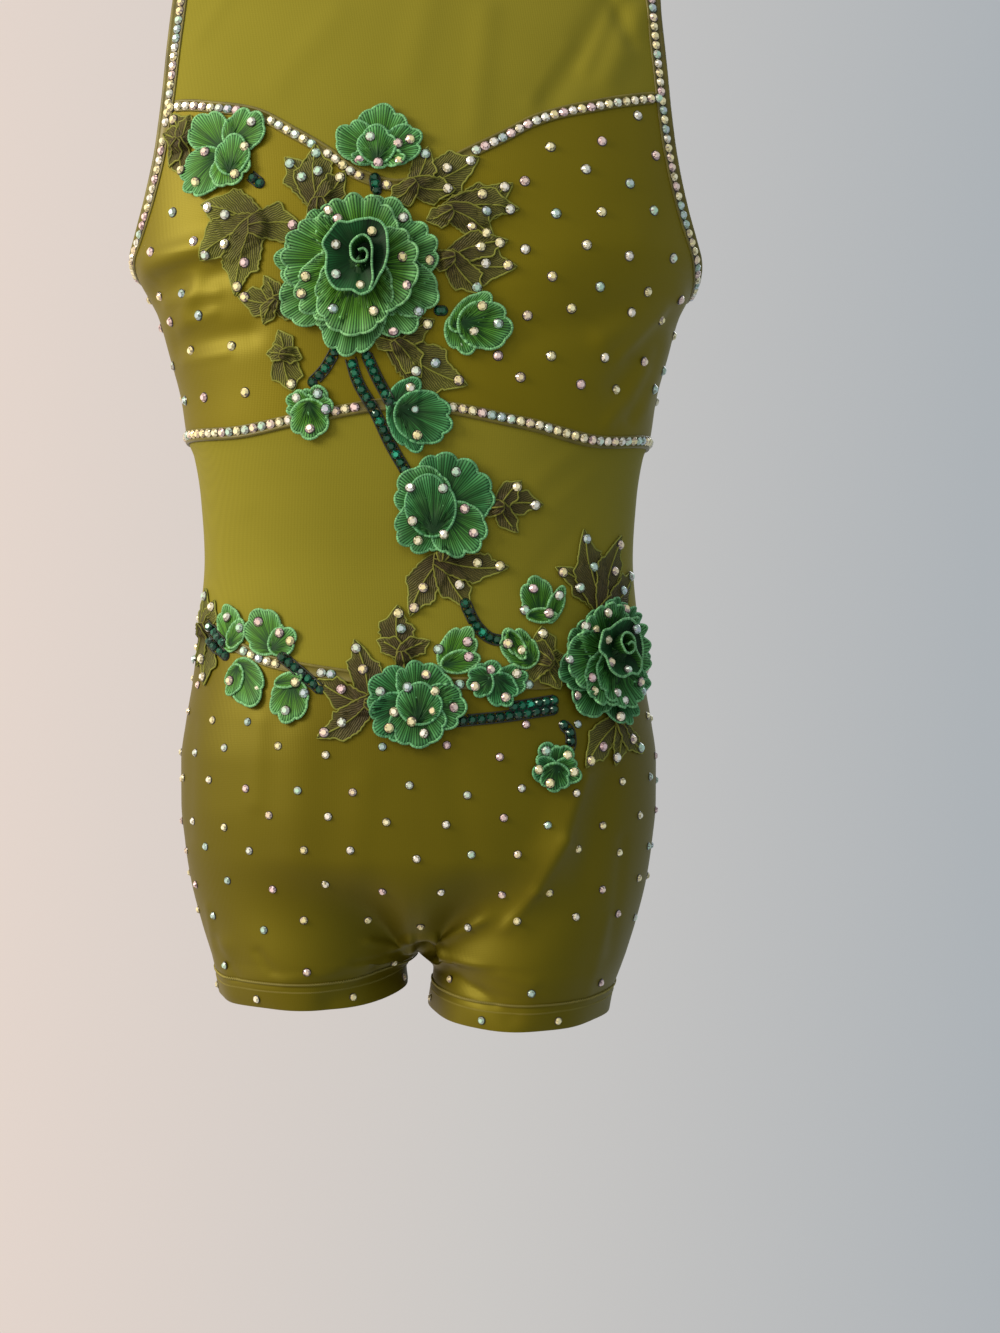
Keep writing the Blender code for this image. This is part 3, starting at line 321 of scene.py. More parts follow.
# Flowers: the middle, how far their petals' rims cup, and each petal's base, direction, length,
# width and scallops. Later petals lie over earlier ones.
FLOWERS = (
    (
        "flower_armhole", -95, -153, 2.0,
        ((-1, 2, 130, 23, 23, 2), (2, 5, 38, 22, 21, 2), (-3, -1, 222, 25, 23, 3), (0, -2, -62, 16, 22, 2),
         (3, -10, 80, 19, 18, 1)),
    ),
    (
        "flower_neck", -17, -148, 2.2,
        ((0, -8, 85, 25, 26, 2), (-1, -8, 148, 23, 21, 2), (2, -8, 28, 21, 19, 2), (0, -6, -92, 10, 26, 3),
         (-1, -12, 92, 18, 19, 1)),
    ),
    (
        "bud_rose", 33, -239, 1.6,
        ((-13, 1, -66, 19, 15, 1), (-13, -3, 42, 24, 13, 1), (-9, -1, -6, 25, 24, 2)),
    ),
    (
        "flower_underbust_west", -52, -283, 1.4,
        ((0, 0, 62, 13, 15, 1), (0, 0, 150, 13, 14, 2), (0, 1, 8, 12, 13, 1), (0, 4, -90, 18, 20, 2)),
    ),
    (
        "flower_underbust_east", 3, -287, 1.6,
        ((-14, 4, 48, 20, 13, 1), (-13, 5, -60, 25, 14, 1), (-10, 4, -18, 27, 26, 3)),
    ),
    (
        "flower_midriff", 13, -331, 2.4,
        ((0, -2, 58, 29, 42, 4), (0, -2, 138, 26, 28, 2), (2, -3, 214, 27, 27, 3), (1, -3, -48, 26, 28, 3),
         (-3, -13, 98, 29, 25, 1)),
    ),
    ("petal_side_upper", -94, -392, 1.2, ((1, -10, 100, 22, 17, 2), (1, -9, 60, 15, 10, 1))),
    ("petal_side_upper_wide", -75, -394, 1.4, ((4, -9, 118, 22, 22, 2), (4, -9, 36, 15, 14, 1))),
    ("petal_side_lower", -85, -421, 1.3, ((-5, 11, -62, 24, 20, 1), (-5, 9, -110, 15, 11, 1))),
    ("petal_side_lower_small", -63, -428, 1.3, ((2, 9, -98, 21, 20, 2), (-6, 8, 14, 14, 7, 1))),
    (
        "flower_waist", 1, -430, 2.4,
        ((-2, 0, 152, 23, 27, 2), (0, 0, 62, 21, 30, 3), (4, -1, -4, 21, 23, 2), (-3, 0, 222, 22, 24, 2),
         (0, 1, -84, 23, 28, 3), (1, -9, 84, 19, 22, 1)),
    ),
    ("bud_waist", 24, -403, 1.3, ((-8, -9, 58, 23, 17, 2), (-9, -8, 12, 18, 11, 1))),
    (
        "flower_waist_east", 42, -421, 1.6,
        ((-10, -2, 55, 16, 15, 1), (0, 0, 20, 15, 15, 2), (-2, 4, -62, 16, 16, 2), (-4, 3, 196, 12, 15, 2)),
    ),
    ("bud_hip", 64, -379, 1.3, ((-1, -8, 100, 21, 17, 2), (4, -9, 68, 18, 8, 1), (-7, -7, 0, 14, 7, 1))),
    ("petal_hip", 53, -402, 1.2, ((5, -8, 128, 21, 16, 2), (-6, 7, -60, 15, 8, 1))),
    (
        "flower_hip_small", 70, -462, 1.3,
        ((0, 0, 118, 13, 14, 1), (0, 0, 48, 12, 14, 1), (0, 0, -24, 13, 14, 1), (0, 0, 198, 12, 14, 1),
         (0, 1, -96, 13, 15, 2)),
    ),
)

# How deep a green each flower is; the others are the palest.
DEPTHS = {
    "flower_neck": 0.25, "flower_underbust_east": 0.6, "flower_midriff": 0.45, "flower_waist": 0.55,
    "flower_waist_east": 0.65, "flower_hip_small": 0.5, "hip_rose": 0.45,
}

# A rose's petals, each by how far its base is right of and above the rose's middle, direction,
# length, width and scallops. The outer ones lie lowest.
ROSE_OUTER = (
    (0, 0, 130, 37, 34, 4), (0, 0, 98, 35, 30, 3), (0, 0, 62, 39, 34, 4), (0, 0, 20, 41, 38, 5),
    (0, 0, -48, 41, 30, 3), (0, 0, -22, 42, 30, 3), (0, 0, -99, 43, 34, 4), (0, 0, -152, 43, 34, 4),
    (0, 0, 171, 42, 30, 3),
)
ROSE_MIDDLE = (
    (1, 4, 96, 32, 40, 5), (-2, 5, 178, 35, 40, 5), (-1, 3, 222, 35, 32, 4), (2, 2, -12, 28, 42, 4),
    (0, 6, -96, 39, 38, 5),
)
# The rims of the cup and of the curled petal in it, right of and above the rose's middle.
ROSE_CUP = (
    (6.6, 23.2), (0.5, 22.4), (-4.5, 21.2), (-8, 21.8), (-12.4, 17.5), (-16.2, 11.0), (-14.2, 5.6),
    (-14.6, -1.5), (-12, -7.6), (-7.5, -10.6), (-2.6, -10.6), (2.2, -13.2), (6.2, -11.4), (10, -6), (13.5, 0),
    (15, 8), (14.5, 16), (11.4, 21.5),
)
ROSE_CURL = (
    (6.2, -10.8), (7.9, -5.6), (7.3, 1.4), (7.6, 7.6), (6.4, 12.6), (3.2, 15.0), (-0.6, 13.0), (-2.8, 9.2),
    (-2.4, 4.6), (0.8, 1.6), (4.4, 2.4), (5.4, 5.6), (3.4, 8.2), (1.0, 7.4),
)
# How high the foot and the rim of each of the two stand off the cloth.
CUP_HEIGHTS = (6.4, 13.2)
CURL_HEIGHTS = (6.0, 15.4)
# The stones set in the cup.
ROSE_STONES = ((7.2, 17.5), (-10.4, 11.2), (-10.2, -3.5), (1.6, -8.4))
# Each rose: its name, its middle, its size against the first, and its turn.
ROSES = (("rose", -27, -214, 1.0, 0), ("hip_rose", 99, -408, 0.8, 24))

# A lobe's two sides: how far along, and the half width there. Each has a side point before the tip.
LOBE_SIDES = (
    ((0, 0.35), (0.18, 0.72), (0.42, 0.95), (0.56, 1.05), (0.62, 0.98), (0.66, 0.66), (0.84, 0.36), (1, 0)),
    ((0, 0.35), (0.16, 0.66), (0.36, 0.88), (0.62, 1.0), (0.72, 1.02), (0.76, 0.6), (0.9, 0.26), (1, 0)),
)
# A seam's tape: how far across and how far off the cloth. The rolled edge is on its upper side.
TAPE = (
    (-3.2, 0.05), (-3.1, 0.75), (-2.7, 0.95), (-2.3, 0.8), (-2.0, 0.55), (1.1, 0.55), (1.35, 0.8),
    (1.7, 1.25), (2.2, 1.4), (2.7, 1.25), (3.1, 0.8), (3.2, 0.05),
)
# An armhole's binding: the rolled edge is at the armhole.
BINDING = (
    (-4.5, 0.05), (-4.4, 0.6), (-4.0, 0.8), (-3.5, 0.75), (-3.0, 0.5), (1.6, 0.55), (2.0, 0.85), (2.6, 1.35),
    (3.4, 1.45), (4.1, 1.1), (4.5, 0.4), (4.55, -0.5), (4.2, -1.2), (3.6, -1.3), (3.4, 0.05),
)
BINDING_MIDDLE = 4.5
# How far apart threads are on petals and on leaves.
THREAD_PITCH = 1.5
LEAF_PITCH = 1.05
# A petal's notches, and the cord round it with the steps of its wrapped stitches.
SCALLOP_DEPTH = 2.4
RIM_RADIUS = 0.7
RIM_STITCH = 0.55
LEAF_STEP = 1.1
CORD_SIDES = 5
# Points across and up the panels in front, of which the back has this share.
HALF_COLUMNS = 70
MIDRIFF_ROWS = 52
SIDE_ROWS = 40
CHEST_ROWS = 42
NECK_COLUMNS = 30
STRAP_COLUMNS = 26
YOKE_ROWS = 70
BACK_SHARE = 0.8
# Rows of points down half of the shorts, and down each leg below the crotch.
SHORTS_ROWS = 86
LEG_ROWS = 22
# How high something stands before it hides a row's stones, or a stem.
ROW_COVER = 1.6
STEM_COVER = 2.4
# Stones: the radius and height of the clear ones, of the small ones and of the green ones.
CLEAR_STONE = (2.3, 1.7)
SMALL_STONE = (1.85, 1.4)
GREEN_STONE = (2.25, 1.9)
# How far apart stones are in a row, in a stem and on an applique.
ROW_PITCH = 4.95
STEM_PITCH = 4.5
APPLIQUE_PITCH = 5.6
# How far stones keep from a stem's stones, in a row, scattered and on an applique.
ROW_CLEAR = 4.2
SCATTER_CLEAR = 5.5
APPLIQUE_CLEAR = 4.8
# Scattered stones: how far apart across and down, how far each strays, and from where to where.
SCATTER_ACROSS = 28.0
SCATTER_DOWN = 17.5
SCATTER_STRAY = 8.0
SCATTER_BANDS = ((-286.0, -130.0), (-556.0, -402.0))
# How far they keep from a seam, from an armhole's edge and from the middle of the back.
SEAM_MARGIN = 7.0
ARMHOLE_MARGIN = 14.0
BACK_MARGIN = 4.0
# Stones round each leg, and how far above its hem they are in turn.
LEG_STONES = 14
LEG_STONE_RISES = (4.5, 20.0)
# Scattered stones are small below this height, on the shorts.
SMALL_BELOW = -300.0

GREEN_STOPS = (
    (0.0, (0.0, 0.028, 0.014)), (0.5, (0.0, 0.06, 0.03)), (0.85, (0.002, 0.12, 0.06)),
    (1.0, (0.02, 0.4, 0.24)),
)
# The rainbow coating of the clear stones.
CLEAR_STOPS = (
    (0.0, (0.72, 0.46, 0.5)), (0.2, (0.8, 0.62, 0.62)), (0.38, (0.82, 0.74, 0.36)), (0.55, (0.85, 0.8, 0.52)),
    (0.68, (0.8, 0.77, 0.72)), (0.84, (0.42, 0.68, 0.5)), (0.95, (0.45, 0.52, 0.6)), (1.0, (0.7, 0.6, 0.72)),
)
# From the dark base of a petal to its pale rim, for the palest petals and for the deepest.
PALE_PETAL = (
    (0.0, (0.001, 0.02, 0.004)), (0.2, (0.01, 0.08, 0.003)), (0.42, (0.07, 0.24, 0.003)),
    (0.58, (0.1, 0.31, 0.015)), (0.7, (0.13, 0.39, 0.08)), (0.82, (0.21, 0.5, 0.19)),
    (1.0, (0.27, 0.56, 0.27)),
)
DEEP_PETAL = (
    (0.0, (0.0004, 0.008, 0.004)), (0.35, (0.002, 0.045, 0.014)), (0.62, (0.012, 0.15, 0.05)),
    (0.78, (0.05, 0.27, 0.1)), (1.0, (0.17, 0.46, 0.24)),
)
# Along a leaf: its olive thread, its browner thread, and what shows between the threads.
OLIVE_THREAD = (
    (0.15, (0.06, 0.05, 0.012)), (0.42, (0.11, 0.112, 0.014)), (0.7, (0.165, 0.18, 0.022)),
    (0.95, (0.22, 0.24, 0.036)),
)
BROWN_THREAD = ((0.15, (0.042, 0.026, 0.01)), (0.7, (0.075, 0.056, 0.016)), (0.95, (0.14, 0.135, 0.03)))
LEAF_GROUND = ((0.2, (0.018, 0.011, 0.004)), (0.6, (0.038, 0.038, 0.005)), (0.9, (0.07, 0.074, 0.01)))

# The room in metres, glowing with painted light from warm on the left to cool on the right.
ROOM_RADIUS = 4.2
ROOM_MIDDLE = (0.0, 0.0, -0.3)
ROOM_PAINTED_LIGHT = ((0.12, (0.8, 0.68, 0.61)), (0.5, (0.6, 0.58, 0.56)), (0.85, (0.42, 0.45, 0.475)))
# Lights, aimed at the middle of the garment: name, place, colour, watts and size.
LIGHTS = (
    ("key", (-1.5, -0.75, 0.35), (1.0, 0.9, 0.76), 32.0, 0.7),
    ("above", (-0.5, -1.3, 1.1), (1.0, 0.97, 0.92), 7.0, 0.9),
    ("behind", (0.6, 1.7, 0.8), (0.95, 0.97, 1.0), 14.0, 1.2),
)
LIGHT_AIM = Vector((0.0, 0.0, -0.33))
CAMERA_PLACE = (0.043, -1.2, -0.4115)
LENS = 60.8
SENSOR = 36.0

# Stems of dark green stones: x and z along each.
STEMS = (
    ((-32, -256), (-28.5, -268), (-19.5, -284), (-12, -300), (-4.5, -313)),
    ((-23.5, -256), (-19, -266), (-12, -279)),
    ((-39.5, -254), (-45, -263), (-51, -269)),
    ((-84.5, -163), (-77.5, -169)),
    ((-19.5, -168), (-18.5, -174)),
    ((12.5, -234), (14.5, -234)),
    ((25.5, -380), (32, -392), (40, -398), (50, -399)),
    ((20, -439), (45, -436.5), (70, -433)),
    ((50, -431.8), (60, -430.2), (70, -428.6)),
    ((75, -441), (79, -447), (77, -454)),
    ((-111, -391), (-104, -400), (-97, -406)),
    ((-107, -389), (-100, -397), (-95, -402)),
    ((-66, -407), (-58, -413.5), (-47, -423)),
)


def smooth(xs, ys, at):
    """A curve through the points with no overshoot between them."""
    xs, ys = np.asarray(xs, float), np.asarray(ys, float)
    at = np.clip(at, xs[0], xs[-1])
    step = np.diff(xs)
    slope = np.diff(ys) / step
    tangent = np.zeros(len(xs))
    tangent[0], tangent[-1] = slope[0], slope[-1]
    same = slope[:-1] * slope[1:] > 0
    tangent[1:-1][same] = 2 * (slope[:-1] * slope[1:])[same] / (slope[:-1] + slope[1:])[same]
    i = np.clip(np.searchsorted(xs, at, side="right") - 1, 0, len(xs) - 2)
    t = (at - xs[i]) / step[i]
    rise = ys[i] * (1 + 2 * t) * (1 - t) ** 2 + ys[i + 1] * t * t * (3 - 2 * t)
    return rise + step[i] * (tangent[i] * t * (1 - t) ** 2 - tangent[i + 1] * t * t * (1 - t))


def read(table, columns, name, at):
    """A column of a table at the given first-column values."""
    return smooth(table[:, 0], table[:, columns.index(name)], at)


def ridge_height(x):
    return (STRAP_MIDDLE - np.abs(x)) * SHOULDER_SLOPE


def fold_height(folds, x, z):
    """How far folds lift the cloth at a place seen from the front."""
    lift = np.zeros(np.broadcast(x, z).shape)
    for x0, z0, x1, z1, half_width, height in folds:
        along_x, along_z = x1 - x0, z1 - z0
        t = np.clip(((x - x0) * along_x + (z - z0) * along_z) / (along_x**2 + along_z**2), 0, 1)
        away = np.hypot(x - x0 - t * along_x, z - z0 - t * along_z)
        lift += height * np.exp(-((away / half_width) ** 2))
    return lift


def bare_skin(theta, z):
    """The cloth's outer face without folds; theta is 0 at the front's middle, a quarter turn at +X."""
    half_width = read(BODY, BODY_COLUMNS, "half_width", z)
    is_front = np.cos(theta) >= 0
    depth = np.where(is_front, read(BODY, BODY_COLUMNS, "front", z), read(BODY, BODY_COLUMNS, "back", z))
    square = np.where(is_front, FRONT_SQUARE, BACK_SQUARE)
    x = half_width * np.sin(theta)
    flat = np.maximum(1 - np.abs(np.sin(theta)) ** square, 0) ** (1 / square)
    below = np.clip((ridge_height(x) - z) / SHOULDER_ROUND, 0, 1)
    y = depth * flat * np.sqrt(1 - (1 - below) ** 2)
    turn = np.abs(np.arcsin(np.clip(np.sin(theta), -1, 1))) / (math.pi / 2)
    leg_depth = np.where(is_front, LEGS[0, LEG_COLUMNS.index("front")], LEGS[0, LEG_COLUMNS.index("back")])
    leg_x = np.sign(np.sin(theta)) * half_width / 2 * (1 - np.cos(math.pi * turn))
    leg_y = leg_depth * np.sin(math.pi * turn)
    fork = np.clip((FORK_Z - z) / (FORK_Z - CROTCH_Z), 0, 1)
    middle = np.exp(-((turn / FORK_WIDTH) ** 2))
    share = (1 - middle) * fork**2 * (3 - 2 * fork) + middle * (1 - np.sqrt(1 - fork**2))
    x, y = (1 - share) * x + share * leg_x, (1 - share) * y + share * leg_y
    return np.stack([x, np.where(is_front, -y, y), z + 0 * x], axis=-1)


def bare_leg(side, psi, z):
    """A leg's outer face below the crotch; psi is 0 at its inner side and positive round the front."""
    word = "left" if side < 0 else "right"
    drop = CROTCH_Z - z
    outer = read(LEGS, LEG_COLUMNS, word + "_outer", drop)
    inner = read(LEGS, LEG_COLUMNS, word + "_inner", drop)
    front, back = (read(LEGS, LEG_COLUMNS, name, drop) for name in ("front", "back"))
    depth = np.where(np.sin(psi) >= 0, front, back)
    x = side * ((outer + inner) / 2 - (outer - inner) / 2 * np.cos(psi))
    return np.stack([x, -depth * np.sin(psi), z + 0 * x], axis=-1)


def unit(v):
    return v / np.maximum(np.linalg.norm(v, axis=-1, keepdims=True), 1e-12)


def folded(points, outward):
    """Points moved out along their normals by the folds and creases."""
    x, y, z = points[..., 0], points[..., 1], points[..., 2]
    front = fold_height(FRONT_FOLDS + FRONT_CREASES, x, z)
    back = fold_height(BACK_FOLDS + BACK_CREASES, x, z)
    fade = smooth((6.0, 30.0), (0.0, 1.0), np.abs(y))
    return points + (np.where(y < 0, front, back) * fade)[..., None] * outward


def cloth_at(face, turn, z, out, facing=1):
    """Points on the folded cloth over a bare face, moved out from it, and the way out."""
    turn, z = np.broadcast_arrays(np.asarray(turn, float), np.asarray(z, float))
    across = face(turn + 1e-4, z) - face(turn - 1e-4, z)
    up = face(turn, z + 0.02) - face(turn, z - 0.02)
    outward = facing * unit(np.cross(across, up))
    return folded(face(turn, z), outward) + np.asarray(out, float)[..., None] * outward, outward


def skin(theta, z, out=0.0):
    """Points on the cloth of the body, moved out from its outer face, and the way out."""

    def face(turn, height):
        return bare_skin(turn, np.maximum(height, CROTCH_Z))

    return cloth_at(face, theta, z, out)


def leg(side, psi, z, out=0.0):
    """Points on the cloth of a leg, moved out from its outer face, and the way out."""

    def face(turn, height):
        return bare_leg(side, turn, height)

    return cloth_at(face, psi, z, out, side)


def turned(u, v, degrees):
    """Places turned anticlockwise, as seen from the front."""
    a = math.radians(degrees)
    return u * math.cos(a) - v * math.sin(a), u * math.sin(a) + v * math.cos(a)


def lengths_along(*line):
    """How far along a line each of its points is, from the coordinates of the points."""
    steps = np.diff(np.stack(line, axis=-1), axis=0)
    return np.append(0, np.cumsum(np.linalg.norm(steps, axis=-1)))


def heading(q, z):
    """The direction of a line on the cloth at each of its points."""
    return unit(np.stack([np.gradient(q), np.gradient(z)], axis=-1))


def edge_turn(side, z, word):
    """How far round the body a panel's edge is: the side seam, or the armhole's edge above it."""
    rise = z - UNDERARM_Z - UNDERARM_TILT * np.sign(side)
    return np.arcsin(np.clip(read(ARMHOLE, ARMHOLE_COLUMNS, word, rise), 0, 1))


def around(s, z, word):
    """theta of the place a share s of the way from a panel's middle to its edge."""
    turn = s * edge_turn(s, z, word)
    return turn if word == "front" else math.pi - turn


def seam_row(seam, s, word):
    """A seam's height at each column."""
    z = np.full(len(s), seam[0][1], float)
    for _ in range(6):
        z = smooth(*zip(*seam), bare_skin(around(s, z, word), z)[:, 0])
    return z


NECK_SHARE = math.asin(NECK_HALF_WIDTH / SHOULDER_HALF_WIDTH) / math.asin(SHOULDER_EDGE / SHOULDER_HALF_WIDTH)


def top_row(s, word):
    """The yoke's top edge: the neckline in the middle and the shoulder line at each side."""
    bottom = FRONT_NECK_Z if word == "front" else BACK_NECK_Z
    z = np.zeros(len(s))
    for _ in range(12):
        x = bare_skin(around(s, z, word), z)[:, 0]
        side = ridge_height(NECK_HALF_WIDTH)
        neck = 1 - np.clip(1 - np.abs(s / NECK_SHARE) ** NECK_SQUARE, 0, 1) ** (1 / NECK_SQUARE)
        neck = bottom + (side - bottom) * neck
        z = 0.5 * z + 0.5 * np.where(np.abs(s) < NECK_SHARE - 1e-6, neck, ridge_height(x))
    return z


def hem_height(side, psi):
    """The hem's height round a leg."""
    outer, middle, inner = HEM[int(side)]
    return smooth((0.0, 0.5, 1.0), (inner, middle, outer), np.abs(psi) / math.pi)


class Surface:
    """The cloth laid out flat, one millimetre apart: where each place is, and which way is out."""

    def __init__(self):
        self.z = np.arange(CROTCH_Z, TOP_Z + 1, 1.0)
        self.theta = np.linspace(0, math.pi, 241)
        steps = np.linalg.norm(np.diff(bare_skin(self.theta[None, :], self.z[:, None]), axis=1), axis=-1)
        self.lengths = np.concatenate([np.zeros((len(steps), 1)), np.cumsum(steps, axis=1)], axis=1)
        self.reach = 350.0
        self.q = np.arange(-self.reach, self.reach + 1, 1.0)
        turns = np.array([np.interp(np.abs(self.q), row, self.theta) for row in self.lengths])
        self.points, self.outward = skin(turns * np.sign(self.q), self.z[:, None])

    def cell(self, q, z):
        """The row and the column of a place, as fractions."""
        i = np.clip(np.asarray(z, float) - self.z[0], 0, len(self.z) - 1.001)
        j = np.clip(np.asarray(q, float) + self.reach, 0, len(self.q) - 1.001)
        return i, j

    def place(self, q, z, h=0.0):
        """Points off the cloth by h."""
        i, j = self.cell(q, z)
        a, b = i.astype(int), j.astype(int)
        f, g = (i - a)[..., None], (j - b)[..., None]
        both = []
        for grid in (self.points, self.outward):
            low = (1 - g) * grid[a, b] + g * grid[a, b + 1]
            high = (1 - g) * grid[a + 1, b] + g * grid[a + 1, b + 1]
            both.append((1 - f) * low + f * high)
        return both[0] + np.asarray(h, float)[..., None] * unit(both[1])

    def stand(self, q, z, h=0.0):
        """Points off the cloth by h, and the way out at each."""
        points = self.place(q, z, h)
        return points, unit(self.place(q, z, h + 1) - points)

    def q_of(self, x, z):
        """The distance round the cloth to where the front passes x."""
        x, z = np.broadcast_arrays(np.asarray(x, float), np.asarray(z, float))
        turn = np.arcsin(np.clip(np.abs(x) / read(BODY, BODY_COLUMNS, "half_width", z), 0, 1))
        return np.sign(x) * self.q_at(turn, z)

    def q_at(self, theta, z):
        """The distance round the cloth to theta."""
        rows = np.clip(np.round(np.asarray(z, float) - self.z[0]).astype(int), 0, len(self.z) - 1)
        flat = zip(np.ravel(np.broadcast_to(theta, rows.shape)), rows.ravel())
        return np.array([np.interp(t, self.theta, self.lengths[r]) for t, r in flat]).reshape(rows.shape)


class Relief:
    """How far everything placed so far stands off the cloth, on a half-millimetre map."""

    def __init__(self, surface):
        self.surface = surface
        self.height = np.zeros((2 * len(surface.z), 2 * len(surface.q)))

    def cell(self, q, z):
        i, j = self.surface.cell(q, z)
        return (2 * i).astype(int), (2 * j).astype(int)

    def at(self, q, z, spread=1):
        """The height of the highest thing within spread cells of a place."""
        i, j = self.cell(q, z)
        top = np.zeros(i.shape)
        for di in range(-spread, spread + 1):
            for dj in range(-spread, spread + 1):
                rows = np.clip(i + di, 0, self.height.shape[0] - 1)
                cols = np.clip(j + dj, 0, self.height.shape[1] - 1)
                top = np.maximum(top, self.height[rows, cols])
        return top

    def add(self, q, z, h):
        """Notes that something stands h off the cloth at each place."""
        i, j = self.cell(q, z)
        np.maximum.at(self.height, (i.ravel(), j.ravel()), np.broadcast_to(h, i.shape).ravel())


def quads(rows, cols, wrap=False):
    """The faces of a grid of points, its last column joined to its first if it wraps."""
    c = np.arange(cols if wrap else cols - 1)
    r = np.arange(rows - 1)[:, None]
    a, b = r * cols + c, r * cols + (c + 1) % cols
    return np.stack([a, b, b + cols, a + cols], axis=-1).reshape(-1, 4)


def ring(count):
    """The points round a ring, and the one after each."""
    here = np.arange(count)
    return here, np.roll(here, -1)


def outline(rows, cols):
    """The points round the edge of a grid, and the one after each."""
    grid = np.arange(rows * cols).reshape(rows, cols)
    loop = np.concatenate([grid[0], grid[1:, -1], grid[-1, -2::-1], grid[-2:0:-1, 0]])
    return loop, np.roll(loop, -1)


class Bag:
    """Shapes gathered into one mesh, with named values for each point."""

    def __init__(self):
        self.points, self.faces, self.values, self.count = [], [], {}, 0

    def add(self, points, faces, **values):
        points = np.asarray(points, float).reshape(-1, 3)
        self.points.append(points)
        self.faces += [np.asarray(group) + self.count for group in faces]
        for name, value in values.items():
            self.values.setdefault(name, []).append(np.broadcast_to(value, points.shape[:1]))
        self.count += len(points)

    def add_layers(self, top, low, faces, **values):
        """Two grids of points, one under the other, that share their values."""
        values = {name: np.tile(np.broadcast_to(v, top.shape[:2]).ravel(), 2) for name, v in values.items()}
        self.add(np.concatenate([top, low]), faces, **values)

    def build(self, name, material, slot, nodes=(), sharp=None):
        """The mesh as one piece that rides on the garment and stands for the named solids."""
        mesh = bpy.data.meshes.new(name)
        faces = [face for group in self.faces for face in group.tolist()]
        mesh.from_pydata((np.concatenate(self.points) * MM).tolist(), [], faces)
        for key, parts in self.values.items():
            values = mesh.attributes.new(key, "FLOAT", "POINT")
            values.data.foreach_set("value", np.concatenate(parts).astype(np.float32))
        mesh.materials.append(material)
        if sharp != 0:
            mesh.shade_smooth()
        if sharp:
            mesh.set_sharp_from_angle(angle=math.radians(sharp))
        piece = bpy.data.objects.new(name, mesh)
        bpy.context.scene.collection.objects.link(piece)
        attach(piece, "root")
        if nodes:
            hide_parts(*nodes)
        return piece


def grid_normals(grid):
    """The way out of each point of a grid, from its neighbours."""
    return unit(np.cross(np.gradient(grid, axis=1), np.gradient(grid, axis=0)))


def add_shell(bag, outer, thick, faces):
    """A closed wall of cloth under a sheet of points. outer is the points, thick the way in."""
    count = len(outer)
    edges = np.concatenate([faces[:, [k, (k + 1) % 4]] for k in range(4)])
    keys = edges[:, 0] * count + edges[:, 1]
    back = edges[:, 1] * count + edges[:, 0]
    rim = edges[~np.isin(keys, back)]
    walls = np.stack([rim[:, 1], rim[:, 0], rim[:, 0] + count, rim[:, 1] + count], axis=-1)
    inner = faces[:, ::-1] + count
    bag.add(np.concatenate([outer, outer - thick]), [faces, inner, walls])


def pull_in(grid, gap=SEAM_GAP / 2):
    """The points with each edge moved in by half a seam's gap."""
    grid = grid.copy()
    for edge, inner in ((grid[0], grid[1]), (grid[-1], grid[-2])):
        edge += gap * unit(inner - edge)
    for edge, inner in ((grid[:, 0], grid[:, 1]), (grid[:, -1], grid[:, -2])):
        edge += gap * unit(inner - edge)
    return grid


def between(low, high, shares):
    return low + (high - low) * np.asarray(shares)[:, None]


def cloth_panel(name, s, heights, word, material, slot, neck=False):
    """A panel of cloth over the body, from rows of heights at each column."""
    if word == "back":
        s, heights = s[::-1], heights[:, ::-1]
    points, _ = skin(around(s[None, :], heights, word), heights)
    points = pull_in(points)
    way_out = grid_normals(points)
    thick = np.full(heights.shape, CLOTH)
    if neck:
        # The neck's edge is turned in and stitched down.
        drop = heights[-1:] - heights
        turned = (np.abs(s) < NECK_SHARE)[None, :] * smooth((6.0, 8.0), (1.0, 0.0), drop)
        groove = (np.abs(s) < NECK_SHARE)[None, :] * np.exp(-(((drop - 7.0) / 0.8) ** 2))
        thick = thick + (HEM_CLOTH - CLOTH) * turned
        points = points + ((0.25 * turned - 0.35 * groove)[..., None]) * way_out
    bag = Bag()
    faces = quads(*heights.shape)
    add_shell(bag, points.reshape(-1, 3), (way_out * thick[..., None]).reshape(-1, 3), faces)
    piece = bag.build("cloth_" + name, material, slot, (name,), sharp=50)


